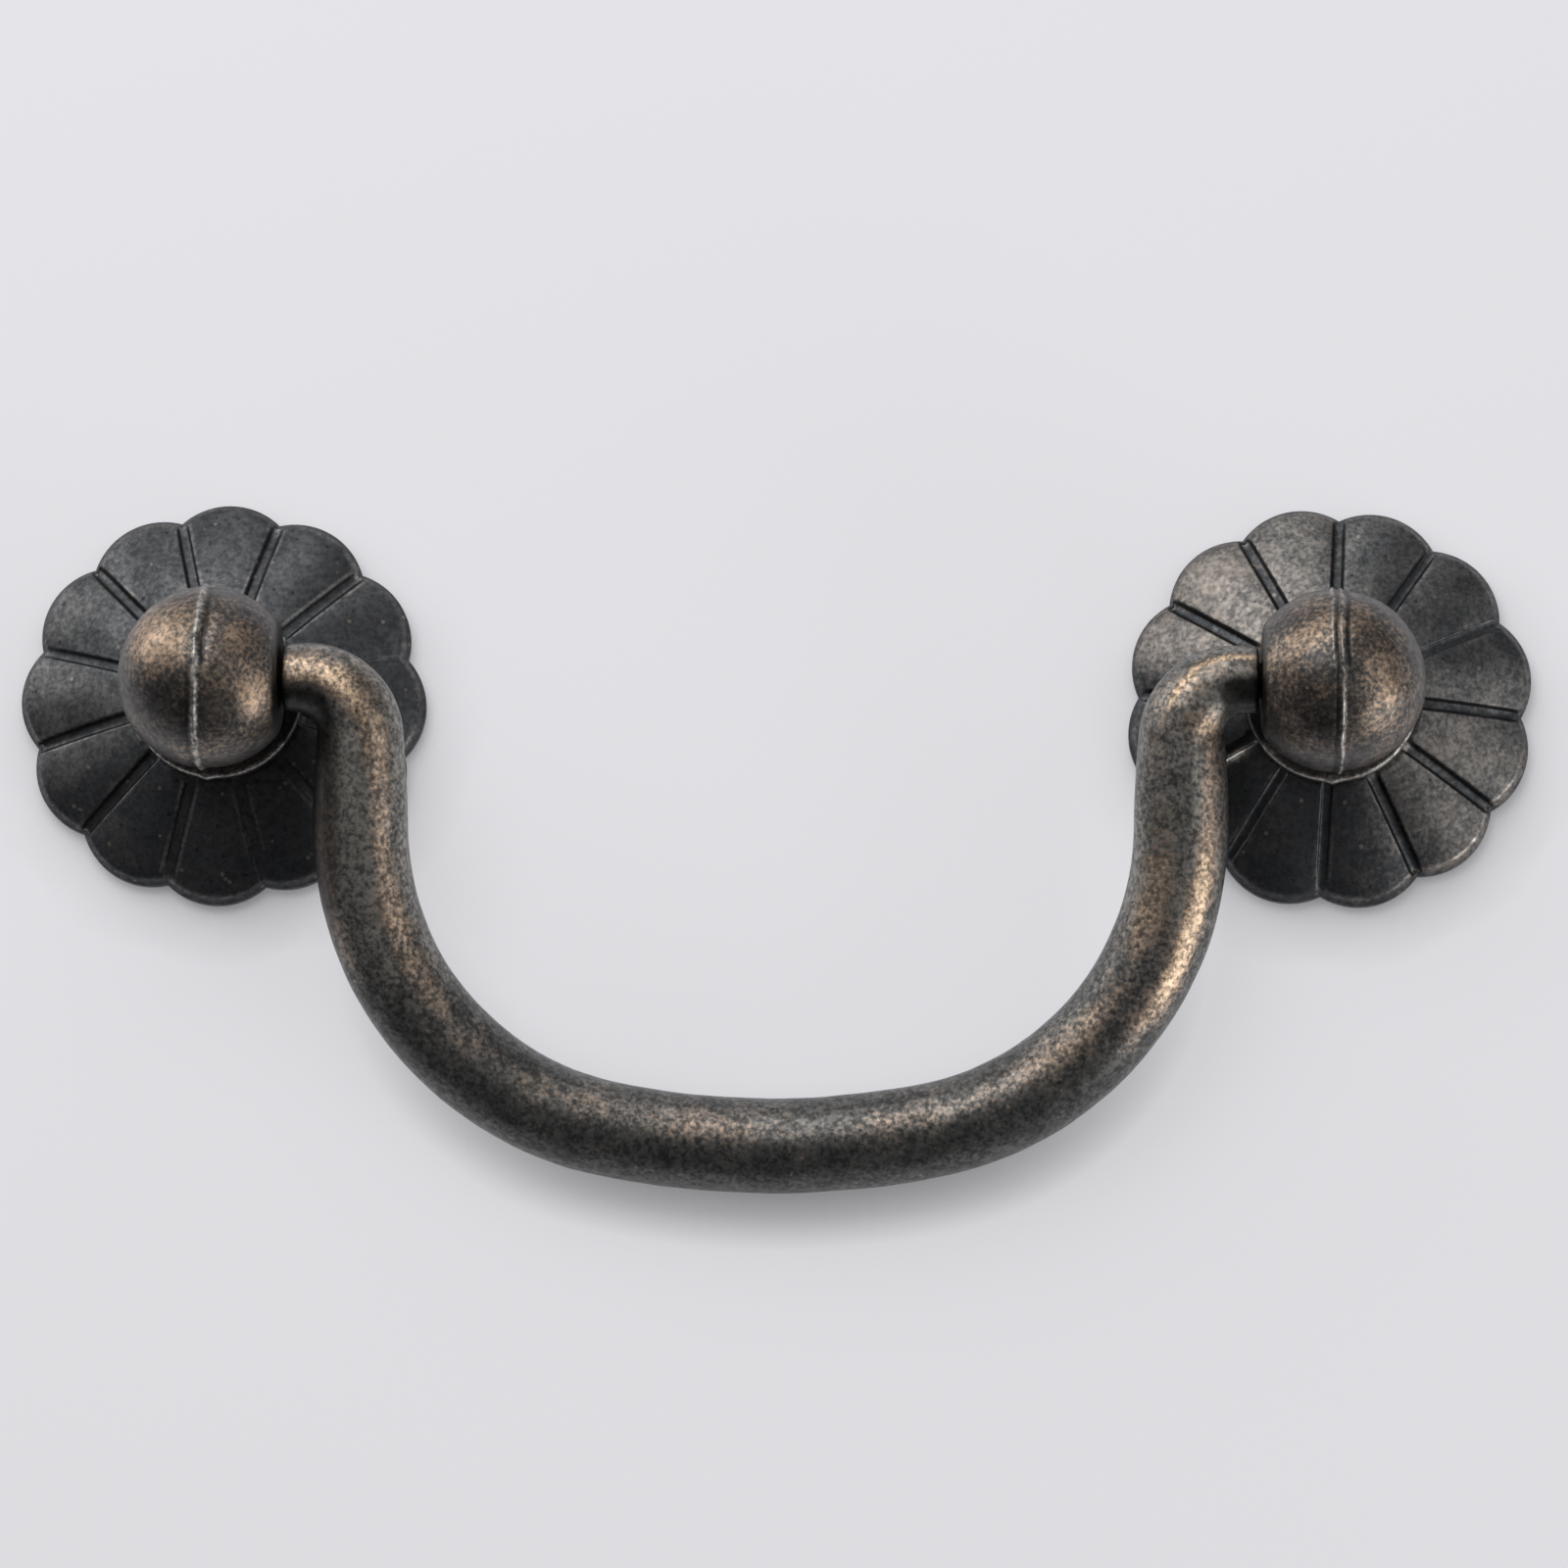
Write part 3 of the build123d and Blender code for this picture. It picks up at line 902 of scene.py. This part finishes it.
def bail_route():
    """Points, directions and radii along the bail's centre line, from the right pin to the left."""
    leg_top = -BEND_RADIUS
    neck_foot = leg_top - TAPER_RUN
    corner_top = neck_foot - LEG_RUN
    bottom_half = LEG_X - CORNER_RADIUS * (1 - math.sin(GRIP_SLOPE))
    bottom_radius = bottom_half / math.sin(GRIP_SLOPE)
    corner_turn = math.pi / 2 - GRIP_SLOPE
    bottom_low = corner_top - CORNER_RADIUS * math.cos(GRIP_SLOPE)
    bow_centre = bottom_low + bottom_radius * math.cos(GRIP_SLOPE)
    neck_bend_x = LEG_X + BEND_RADIUS
    points = []
    for share in np.linspace(0, 1, NECK_ROWS):
        points.append((NECK_END_X + (neck_bend_x - NECK_END_X) * share, 0.0))
    for turn in np.linspace(0, math.pi / 2, BEND_ROWS)[1:]:
        x = neck_bend_x - BEND_RADIUS * math.sin(turn)
        points.append((x, leg_top + BEND_RADIUS * math.cos(turn)))
    for share in np.linspace(0, 1, LEG_ROWS)[1:]:
        points.append((LEG_X, leg_top + (corner_top - leg_top) * share))
    steps = int(CORNER_RADIUS * corner_turn / RING_STEP)
    for turn in np.linspace(0, corner_turn, steps)[1:]:
        x = LEG_X - CORNER_RADIUS * (1 - math.cos(turn))
        points.append((x, corner_top - CORNER_RADIUS * math.sin(turn)))
    steps = int(bottom_radius * GRIP_SLOPE / RING_STEP)
    for turn in np.linspace(GRIP_SLOPE, 0, steps)[1:]:
        points.append((bottom_radius * math.sin(turn), bow_centre - bottom_radius * math.cos(turn)))
    half = np.array(points)
    whole = np.concatenate([half, half[-2::-1] * np.array([-1, 1])])
    run = np.concatenate([[0], np.cumsum(np.hypot(*np.diff(whole, axis=0).T))])
    neck_length = (NECK_END_X - neck_bend_x) + BEND_RADIUS * math.pi / 2 + TAPER_RUN
    from_end = np.minimum(run, run[-1] - run)
    share = unit(from_end / neck_length)
    swell = 1 - (1 - share) ** TAPER_EASE
    radius = NECK_END_RADIUS + (GRIP_RADIUS - NECK_END_RADIUS) * swell
    ahead = np.gradient(whole, axis=0)
    ahead /= np.linalg.norm(ahead, axis=1)[:, None]
    return whole, ahead, radius


def make_bail():
    """The bail in one skin, pins included, leaning back on the drawer front as it rests."""
    centres, ahead, radius = bail_route()
    turn = np.linspace(0, 2 * math.pi, RING_COLUMNS, endpoint=False)

    def ring(centre, along, size):
        out = np.array([-along[1], along[0]])
        flat = centre + size * np.cos(turn)[:, None] * out
        return np.column_stack([flat, size * np.sin(turn)])

    rows = [ring(c, a, r) for c, a, r in zip(centres, ahead, radius)]
    right = []
    left = []
    pin = PIN_TIP_X - NECK_END_X
    steps = [(pin, PIN_RADIUS - PIN_EDGE), (pin - PIN_EDGE, PIN_RADIUS)]
    steps += [(PIN_FOOT, PIN_RADIUS), (0.0, PIN_RADIUS + PIN_FOOT)]
    steps += [(0.0, NECK_END_RADIUS - PIN_EDGE), (-NECK_EDGE, NECK_END_RADIUS - NECK_EDGE)]
    for beyond, size in steps:
        right.append(ring(centres[0] - ahead[0] * beyond, ahead[0], size))
        left.append(ring(centres[-1] + ahead[-1] * beyond, ahead[-1], size))
    grid = np.array(right + rows[1:-1] + left[::-1])
    body = slice(len(right), len(grid) - len(left))
    middle = np.column_stack([centres[1:-1], np.zeros(len(centres) - 2)])[:, None, :]
    outward = grid[body] - middle
    outward = outward / np.linalg.norm(outward, axis=-1)[..., None]
    uneven = layered(grid[body], 0.0, CASTING_LAYERS, CASTING_SEED)
    grid[body] += outward * uneven[..., None]
    tips = [np.array([PIN_TIP_X, 0, 0]), np.array([-PIN_TIP_X, 0, 0])]
    leaning = [lean_back(part) for part in (grid, tips[0], tips[1])]
    piece = skin("swan_neck_bail", *leaning)
    inner = np.append(np.broadcast_to(-np.cos(turn), grid.shape[:2]), (0.0, 0.0))
    front = np.append(np.broadcast_to(np.sin(turn), grid.shape[:2]), (0.0, 0.0))
    paint_bail(piece, inner, front)
    return piece


def lean_back(points):
    """Swings hanging bail points about the pin axis to where the grip rests."""
    points = np.asarray(points, dtype=float)
    y, z = rotate(points[..., 1], points[..., 2], REST_LEAN)
    return np.stack([points[..., 0], y, z + PIVOT_HEIGHT], axis=-1)


def paint_bail(piece, inner, front):
    """Rubbed copper bands inside the grip and on both legs, partly painted highlights, worn grey on
    the legs, and painted shade below and close to the posts.
    """
    points = face_points(piece)
    x = points[:, 0]
    y = points[:, 1]
    facing = unit(front * FACING_GAIN)
    uneven = layered(points, 1, RUB_LAYERS, RUB_SEED)
    leg = ramp(y, *LEG_GREY)
    left_leg = leg * (x < 0)
    lower = ramp(y, *LEFT_BEND)
    shift = LEFT_NECK_SHIFT + (LEFT_LEG_SHIFT - LEFT_NECK_SHIFT) * lower
    widening = LEFT_NECK_WIDENING + (LEFT_LEG_WIDENING - LEFT_NECK_WIDENING) * lower
    # Band along the inside of the grip and up the legs: rubbed copper laid along the lamps'
    # highlights, partly painted highlight
    band = inner - PULLED_SHINE_INNER - shift * left_leg
    pulled_shine = bell(band, PULLED_SHINE_WIDTH + widening * left_leg) * facing
    corner = bell(x - RIGHT_CORNER_X, RIGHT_CORNER_REACH) * (y < RIGHT_CORNER_TOP)
    pulled_shine_strength = PULLED_SHINE_STRENGTH + LEFT_LEG_PULLED_SHINE * left_leg + RIGHT_CORNER_PULLED_SHINE * corner

    # Gold band on the right leg: rubbed copper laid where the right lamp's highlight falls, partly
    # painted highlight
    down = ramp(y, *THUMBED_SHINE_BEND)
    outer = THUMBED_SHINE_TOP_OUTER + (THUMBED_SHINE_OUTER - THUMBED_SHINE_TOP_OUTER) * down
    width = THUMBED_SHINE_TOP_WIDTH + (THUMBED_SHINE_WIDTH - THUMBED_SHINE_TOP_WIDTH) * down
    thumbed_shine = bell((inner + outer) / width, 1.0) * (x > 0) * facing
    thumbed_shine *= THUMBED_SHINE_LEVEL + THUMBED_SHINE_SWELL * bell(y - THUMBED_SHINE_Y, THUMBED_SHINE_REACH)
    thumbed_shine *= THUMBED_SHINE_DULL + THUMBED_SHINE_GOLD * ramp(y, *THUMBED_SHINE_GOLDEN)
    thumbed_shine *= ramp(y, *THUMBED_SHINE_TOP) * ramp(y, *THUMBED_SHINE_FOOT)

    # Painted highlight line along the top edge of the right neck
    bend = ramp(x, *RIDGE_BEND)
    ridge = bell((inner - RIDGE_INNER + RIDGE_BEND_SHIFT * bend) / RIDGE_WIDTH, 1.0) * facing
    ridge *= (x > RIDGE_START_X) * ramp(y, *RIDGE_FOOT)

    rub_and_highlight = np.minimum(pulled_shine_strength * pulled_shine * uneven, PULLED_SHINE_MOST)
    rub_and_highlight = rub_and_highlight + thumbed_shine * (THUMBED_SHINE_STRENGTH + THUMBED_SHINE_MOTTLE * uneven)
    rub_and_highlight = np.maximum(rub_and_highlight, ridge * (RIDGE_STRENGTH + RIDGE_MOTTLE * uneven))
    # Painted highlight patch on the inner bend of the right neck
    rub_and_highlight = np.maximum(rub_and_highlight, soft_patches(points, [BEND_PATCH]))
    # Band on the outer side of the left leg, partly painted highlight
    left_edge = bell(inner + LEFT_EDGE_OUTER, LEFT_EDGE_WIDTH) * left_leg * lower * facing
    rub_and_highlight = np.maximum(rub_and_highlight, LEFT_EDGE_STRENGTH * left_edge * uneven)
    # Spots on the necks' tops, partly painted highlight
    spots = soft_patches(points, BAIL_RUBS_AND_HIGHLIGHTS) * unit(inner * SPOT_GAIN + SPOT_LEVEL)
    paint(piece, "rub_and_highlight", rub_and_highlight + spots)

    left_grey = LEFT_LEG_GREY * (1 - LEFT_LEG_GREY_FALL * pulled_shine)
    greyed = GREY_LEVEL + np.where(x < 0, left_grey, RIGHT_LEG_GREY) * leg
    paint(piece, "wear_and_sheen", greyed * facing * uneven)

    # Painted shade under the necks beside the posts, at the posts and under the grip
    left_end = ramp(np.abs(x), *LEFT_END)
    left_end *= unit((LEFT_END_SIDE - inner) * LEFT_END_GAIN)
    right_end = ramp(x, *RIGHT_END)
    right_end *= unit((RIGHT_END_SIDE - inner) * RIGHT_END_GAIN)
    right_end *= np.clip((inner + RIGHT_END_EDGE) * RIGHT_END_EDGE_GAIN, RIGHT_END_LEAST, 1)
    ends = np.where(x > 0, right_end, left_end)
    at_post = unit((np.abs(x) - NECK_END_X + NECK_SHADE_INSET) / NECK_SHADE_FADE)
    shade_top = np.where(x < 0, UNDERSIDE_TOP["left"], UNDERSIDE_TOP["right"])
    below = unit(-inner * UNDERSIDE_GAIN - UNDERSIDE_START)
    below *= ramp(y, shade_top, -UNDERSIDE_FADE)
    paint(piece, "painted_shade", np.maximum(np.maximum(ends, at_post), UNDERSIDE_SHADE * below))


# Materials


class Nodes:
    """Adds nodes to one material and links them by socket."""

    def __init__(self, material):
        material.use_nodes = True
        self.tree = material.node_tree
        self.shader = self.tree.nodes["Principled BSDF"]

    def fill(self, node, values):
        """Sets a node's inputs: sockets of other nodes are linked, and the rest are constants."""
        for name, value in values.items():
            if isinstance(value, bpy.types.NodeSocket):
                self.tree.links.new(value, node.inputs[name])
            else:
                node.inputs[name].default_value = value

    def add(self, kind, values):
        node = self.tree.nodes.new(kind)
        self.fill(node, values)
        return node

    def noise(self, vector, scale, detail, rough):
        values = {"Vector": vector, "Scale": scale, "Detail": detail, "Roughness": rough}
        return self.add("ShaderNodeTexNoise", values).outputs["Fac"]

    def maths(self, operation, first, second):
        node = self.add("ShaderNodeMath", {0: first, 1: second})
        node.operation = operation
        return node.outputs[0]

    def scaled(self, vector, scale):
        node = self.tree.nodes.new("ShaderNodeVectorMath")
        node.operation = "SCALE"
        self.fill(node, {0: vector, "Scale": scale})
        return node.outputs["Vector"]

    def spread(self, value, low, high, to_low=0.0, to_high=1.0):
        limits = {"From Min": low, "From Max": high, "To Min": to_low, "To Max": to_high}
        node = self.add("ShaderNodeMapRange", {"Value": value, **limits})
        node.interpolation_type = "SMOOTHSTEP"
        return node.outputs["Result"]

    def mix(self, share, first, second):
        node = self.tree.nodes.new("ShaderNodeMix")
        node.data_type = "RGBA"
        self.fill(node, {0: share, 6: first, 7: second})
        return node.outputs[2]

    def flecks(self, vector, scale, size, share):
        """Small round dots, one in some of the cells of a random pattern."""
        node = self.add("ShaderNodeTexVoronoi", {"Vector": vector, "Scale": scale})
        dot = self.spread(node.outputs["Distance"], FLECK_CORE * size, size, 1.0, 0.0)
        chosen = self.spread(node.outputs["Color"], 1 - share, 1 + FLECK_FADE - share)
        return self.maths("MULTIPLY", dot, chosen)

    def painted(self, name):
        node = self.add("ShaderNodeAttribute", {})
        node.attribute_name = name
        return node.outputs["Fac"]


def antique_metal(name, colours, fineness, gain, gritty, glint, rough, bumps, lacquer):
    """Blackened cast metal under a dull lacquer, turned towards bronze where rubbing and highlights
    are painted, and darkened where shade is painted.

    colours has patina and deep for the blackening, worn for the bare grey edges, and bronze,
    pale and gold for ever brighter rubbing and painted highlights. fineness scales the grain, gain is
    its darkest and brightest, gritty is how much the rubbing breaks up, glint is the size of the pale
    flecks, rough and bumps are the metal's own, and lacquer is how fully the clear coat covers it.
    """
    material = bpy.data.materials.new(name)
    nodes = Nodes(material)
    place = nodes.add("ShaderNodeTexCoord", {}).outputs["Object"]
    place = nodes.scaled(place, fineness / MM)
    grain = nodes.noise(place, *GRAIN)
    fine = nodes.noise(place, *FINE_GRAIN)
    blotch = nodes.noise(place, *BLOTCHES)
    rub_and_highlight = nodes.painted("rub_and_highlight")
    wear_and_sheen = nodes.painted("wear_and_sheen")
    painted_shade = nodes.painted("painted_shade")

    patch = nodes.maths("MULTIPLY", nodes.maths("SUBTRACT", blotch, NOISE_MIDDLE), BLOTCH_SHARE)
    grit = nodes.maths("MULTIPLY", nodes.maths("SUBTRACT", fine, NOISE_MIDDLE), gritty)
    uneven = nodes.maths("ADD", patch, grit)
    rub_and_shine = nodes.spread(nodes.maths("ADD", rub_and_highlight, uneven), *RUBBED_SPAN)
    bright = nodes.spread(nodes.maths("ADD", rub_and_highlight, grit), *BRIGHT_SPAN)
    bare = nodes.maths("ADD", wear_and_sheen, nodes.maths("MULTIPLY", uneven, BARE_SPECKLE))
    bare = nodes.spread(bare, *RUBBED_SPAN)
    base = nodes.mix(nodes.spread(blotch, *BLOTCH_SPAN), colours["patina"], colours["deep"])
    base = nodes.mix(bare, base, colours["worn"])
    metal = nodes.mix(nodes.spread(grain, *BRONZE_SPAN), colours["bronze"], colours["pale"])
    # The strongest painted highlights turn gold
    metal = nodes.mix(bright, metal, colours["gold"])
    colour = nodes.mix(rub_and_shine, base, metal)
    dots = nodes.flecks(place, GLINT_SCALE, glint, GLINT_SHARE)
    glints = nodes.maths("MULTIPLY", dots, GLINT_SHINE)
    colour = nodes.mix(glints, colour, colours["pale"])
    coarse_part = nodes.maths("MULTIPLY", grain, GRAIN_SHARE)
    fine_part = nodes.maths("MULTIPLY", fine, FINE_SHARE)
    level = nodes.maths("ADD", coarse_part, fine_part)
    grey = nodes.spread(level, *LEVEL_SPAN, *gain)
    smoothed = nodes.maths("MULTIPLY", nodes.maths("ADD", bright, rub_and_shine), SMOOTHING)
    shortfall = nodes.maths("SUBTRACT", 1.0, grey)
    grey = nodes.maths("ADD", grey, nodes.maths("MULTIPLY", shortfall, smoothed))
    # Painted shade darkens the colour
    grey = nodes.maths("MULTIPLY", grey, nodes.spread(painted_shade, 0.0, 1.0, 1.0, PAINTED_SHADE_TONE))
    pits = nodes.flecks(place, PIT_SCALE, PIT_SIZE, PIT_SHARE)
    grey = nodes.maths("MULTIPLY", grey, nodes.spread(pits, 0.0, 1.0, 1.0, PIT_TONE))
    gloss = nodes.spread(level, *GLOSS_SPAN, rough + GLOSS_SWING, rough - GLOSS_SWING)
    bump = nodes.add("ShaderNodeBump", {"Strength": bumps, "Distance": BUMP_DEPTH, "Height": level})
    nodes.fill(
        nodes.shader,
        {
            "Base Color": nodes.scaled(colour, grey),
            "Metallic": METALLIC,
            "Roughness": gloss,
            "Coat Weight": lacquer,
            "Coat Roughness": LACQUER_ROUGHNESS,
            "Normal": bump.outputs["Normal"],
        },
    )
    return material


# Stage


def make_backdrop():
    """A pale board behind the pull, open under the rosettes and seen from its front only.

    Part of it glows for the camera, dimmed close to the pull, for an even tone with a tight shadow.
    """
    work = bmesh.new()
    edges = []

    def closed(points):
        corners = [work.verts.new(point) for point in points]
        for here, there in zip(corners, corners[1:] + corners[:1]):
            edges.append(work.edges.new((here, there)))

    half = BACKDROP_SIZE / 2
    closed([(-half, 0, -half), (half, 0, -half), (half, 0, half), (-half, 0, half)])
    for x in (-HALF_SPACING, HALF_SPACING):
        sides = range(BACKDROP_HOLE_SIDES)
        turns = [2 * math.pi * index / BACKDROP_HOLE_SIDES for index in sides]
        reach = BACKDROP_HOLE * MM
        closed([(x * MM + reach * math.cos(t), 0, reach * math.sin(t)) for t in turns])
    bmesh.ops.triangle_fill(work, use_beauty=True, use_dissolve=False, edges=edges)
    for face in work.faces:
        face.normal_update()
        if face.normal.y > 0:
            face.normal_flip()
    mesh = bpy.data.meshes.new("backdrop")
    work.to_mesh(mesh)
    work.free()
    board = add_object("backdrop", mesh)
    board.location.y = BACKDROP_GAP
    material = bpy.data.materials.new("pale_board")
    nodes = Nodes(material)
    nodes.fill(
        nodes.shader,
        {
            "Base Color": BACKDROP_COLOUR,
            "Roughness": BACKDROP_ROUGHNESS,
            "Specular IOR Level": BACKDROP_SPECULAR,
        },
    )
    lit_from = nodes.add("ShaderNodeCombineXYZ", dict(enumerate(CONTACT_LIGHT))).outputs["Vector"]
    contact = nodes.add("ShaderNodeAmbientOcclusion", {"Distance": CONTACT_REACH, "Normal": lit_from})
    contact.samples = CONTACT_SAMPLES
    open_sky = nodes.spread(contact.outputs["AO"], 0.0, 1.0, CONTACT_SHADE, 1.0)
    glow = nodes.add("ShaderNodeEmission", {"Color": BACKDROP_GLOW, "Strength": open_sky})
    path = nodes.add("ShaderNodeLightPath", {})
    seen = nodes.maths("MAXIMUM", path.outputs["Is Camera Ray"], path.outputs["Is Glossy Ray"])
    share = nodes.maths("MULTIPLY", seen, BACKDROP_EVENING)
    lit = nodes.shader.outputs["BSDF"]
    evened = nodes.add("ShaderNodeMixShader", {0: share, 1: lit, 2: glow.outputs["Emission"]})
    behind = nodes.add("ShaderNodeNewGeometry", {}).outputs["Backfacing"]
    clear = nodes.add("ShaderNodeBsdfTransparent", {}).outputs["BSDF"]
    either = nodes.add("ShaderNodeMixShader", {0: behind, 1: evened.outputs["Shader"], 2: clear})
    nodes.fill(nodes.tree.nodes["Material Output"], {"Surface": either.outputs["Shader"]})
    mesh.materials.append(material)


def make_world():
    """An even pale surround, dimmer for the light it gives than for the camera."""
    world = bpy.data.worlds.new("surround")
    bpy.context.scene.world = world
    world.use_nodes = True
    tree = world.node_tree
    back = tree.nodes["Background"]
    back.inputs["Color"].default_value = SURROUND_COLOUR
    path = tree.nodes.new("ShaderNodeLightPath")
    power = tree.nodes.new("ShaderNodeMapRange")
    power.inputs["To Min"].default_value = SURROUND_LIGHT
    power.inputs["To Max"].default_value = SURROUND_SEEN
    tree.links.new(path.outputs["Is Camera Ray"], power.inputs["Value"])
    tree.links.new(power.outputs["Result"], back.inputs["Strength"])


def softbox(name, place, width, height, power):
    """A rectangular studio lamp that the camera doesn't see."""
    data = bpy.data.lights.new(name, "AREA")
    data.shape = "RECTANGLE"
    data.size = width
    data.size_y = height
    data.energy = power
    lamp = add_object(name, data)
    lamp.location = place
    towards = LAMP_AIM - Vector(place)
    lamp.rotation_mode = "QUATERNION"
    lamp.rotation_quaternion = towards.to_track_quat("-Z", "Y")
    lamp.visible_camera = False


def make_camera():
    """The photograph's view: from a little below and to the right, with a long lens."""
    level = math.cos(CAMERA_ELEVATION)
    back = Vector(
        (
            math.sin(CAMERA_AZIMUTH) * level,
            -math.cos(CAMERA_AZIMUTH) * level,
            math.sin(CAMERA_ELEVATION),
        )
    )
    side = Vector((math.cos(CAMERA_AZIMUTH), math.sin(CAMERA_AZIMUTH), 0.0))
    up = back.cross(side)
    right = side * math.cos(CAMERA_ROLL) + up * math.sin(CAMERA_ROLL)
    upright = up * math.cos(CAMERA_ROLL) - side * math.sin(CAMERA_ROLL)
    data = bpy.data.cameras.new("camera")
    data.lens = CAMERA_LENS
    data.sensor_width = CAMERA_SENSOR
    data.clip_start = CAMERA_NEAR
    camera = add_object("camera", data)
    turned = Matrix((right, upright, back)).transposed().to_4x4()
    camera.matrix_world = Matrix.Translation(CAMERA_AIM + back * CAMERA_DISTANCE) @ turned
    bpy.context.scene.camera = camera


make_camera()
make_backdrop()
make_world()
for lamp_values in LAMPS:
    softbox(*lamp_values)

bronze_bail = antique_metal(
    "speckled_bronze",
    {
        "patina": (0.085, 0.084, 0.081, 1.0),
        "deep": (0.125, 0.121, 0.114, 1.0),
        "worn": (0.215, 0.205, 0.186, 1.0),
        "bronze": (0.225, 0.168, 0.126, 1.0),
        "pale": (0.285, 0.217, 0.165, 1.0),
        "gold": (0.56, 0.415, 0.282, 1.0),
    },
    fineness=1.06,
    gain=(0.4, 1.62),
    gritty=1.25,
    glint=0.15,
    rough=0.48,
    bumps=0.5,
    lacquer=0.42,
)
bronze_post = antique_metal(
    "rubbed_bronze",
    {
        "patina": (0.068, 0.063, 0.059, 1.0),
        "deep": (0.1, 0.09, 0.081, 1.0),
        "worn": (0.4, 0.382, 0.352, 1.0),
        "bronze": (0.27, 0.192, 0.132, 1.0),
        "pale": (0.31, 0.222, 0.153, 1.0),
        "gold": (0.335, 0.232, 0.148, 1.0),
    },
    fineness=1.05,
    gain=(0.48, 1.52),
    gritty=1.35,
    glint=0.14,
    rough=0.48,
    bumps=0.3,
    lacquer=0.5,
)
black_rosette = antique_metal(
    "blackened_rosette",
    {
        "patina": (0.057, 0.06, 0.064, 1.0),
        "deep": (0.077, 0.079, 0.082, 1.0),
        "worn": (0.19, 0.186, 0.18, 1.0),
        "bronze": (0.205, 0.182, 0.163, 1.0),
        "pale": (0.255, 0.222, 0.194, 1.0),
        "gold": (0.8, 0.77, 0.72, 1.0),
    },
    fineness=1.0,
    gain=(0.7, 1.31),
    gritty=0.7,
    glint=0.2,
    rough=0.48,
    bumps=0.35,
    lacquer=0.12,
)

for number, side in enumerate(("left", "right")):
    rosette = make_rosette(side, number + 1)
    rosette.data.materials.append(black_rosette)
    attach(rosette, "posts")
    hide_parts(f"{side}_rosette")
    post = make_post(side)
    post.data.materials.clear()
    post.data.materials.append(bronze_post)
    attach(post, "posts")
    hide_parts(f"{side}_post")

bail = make_bail()
bail.data.materials.append(bronze_bail)
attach(bail, "bail")
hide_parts("bail")

bpy.context.scene.view_settings.view_transform = "Standard"
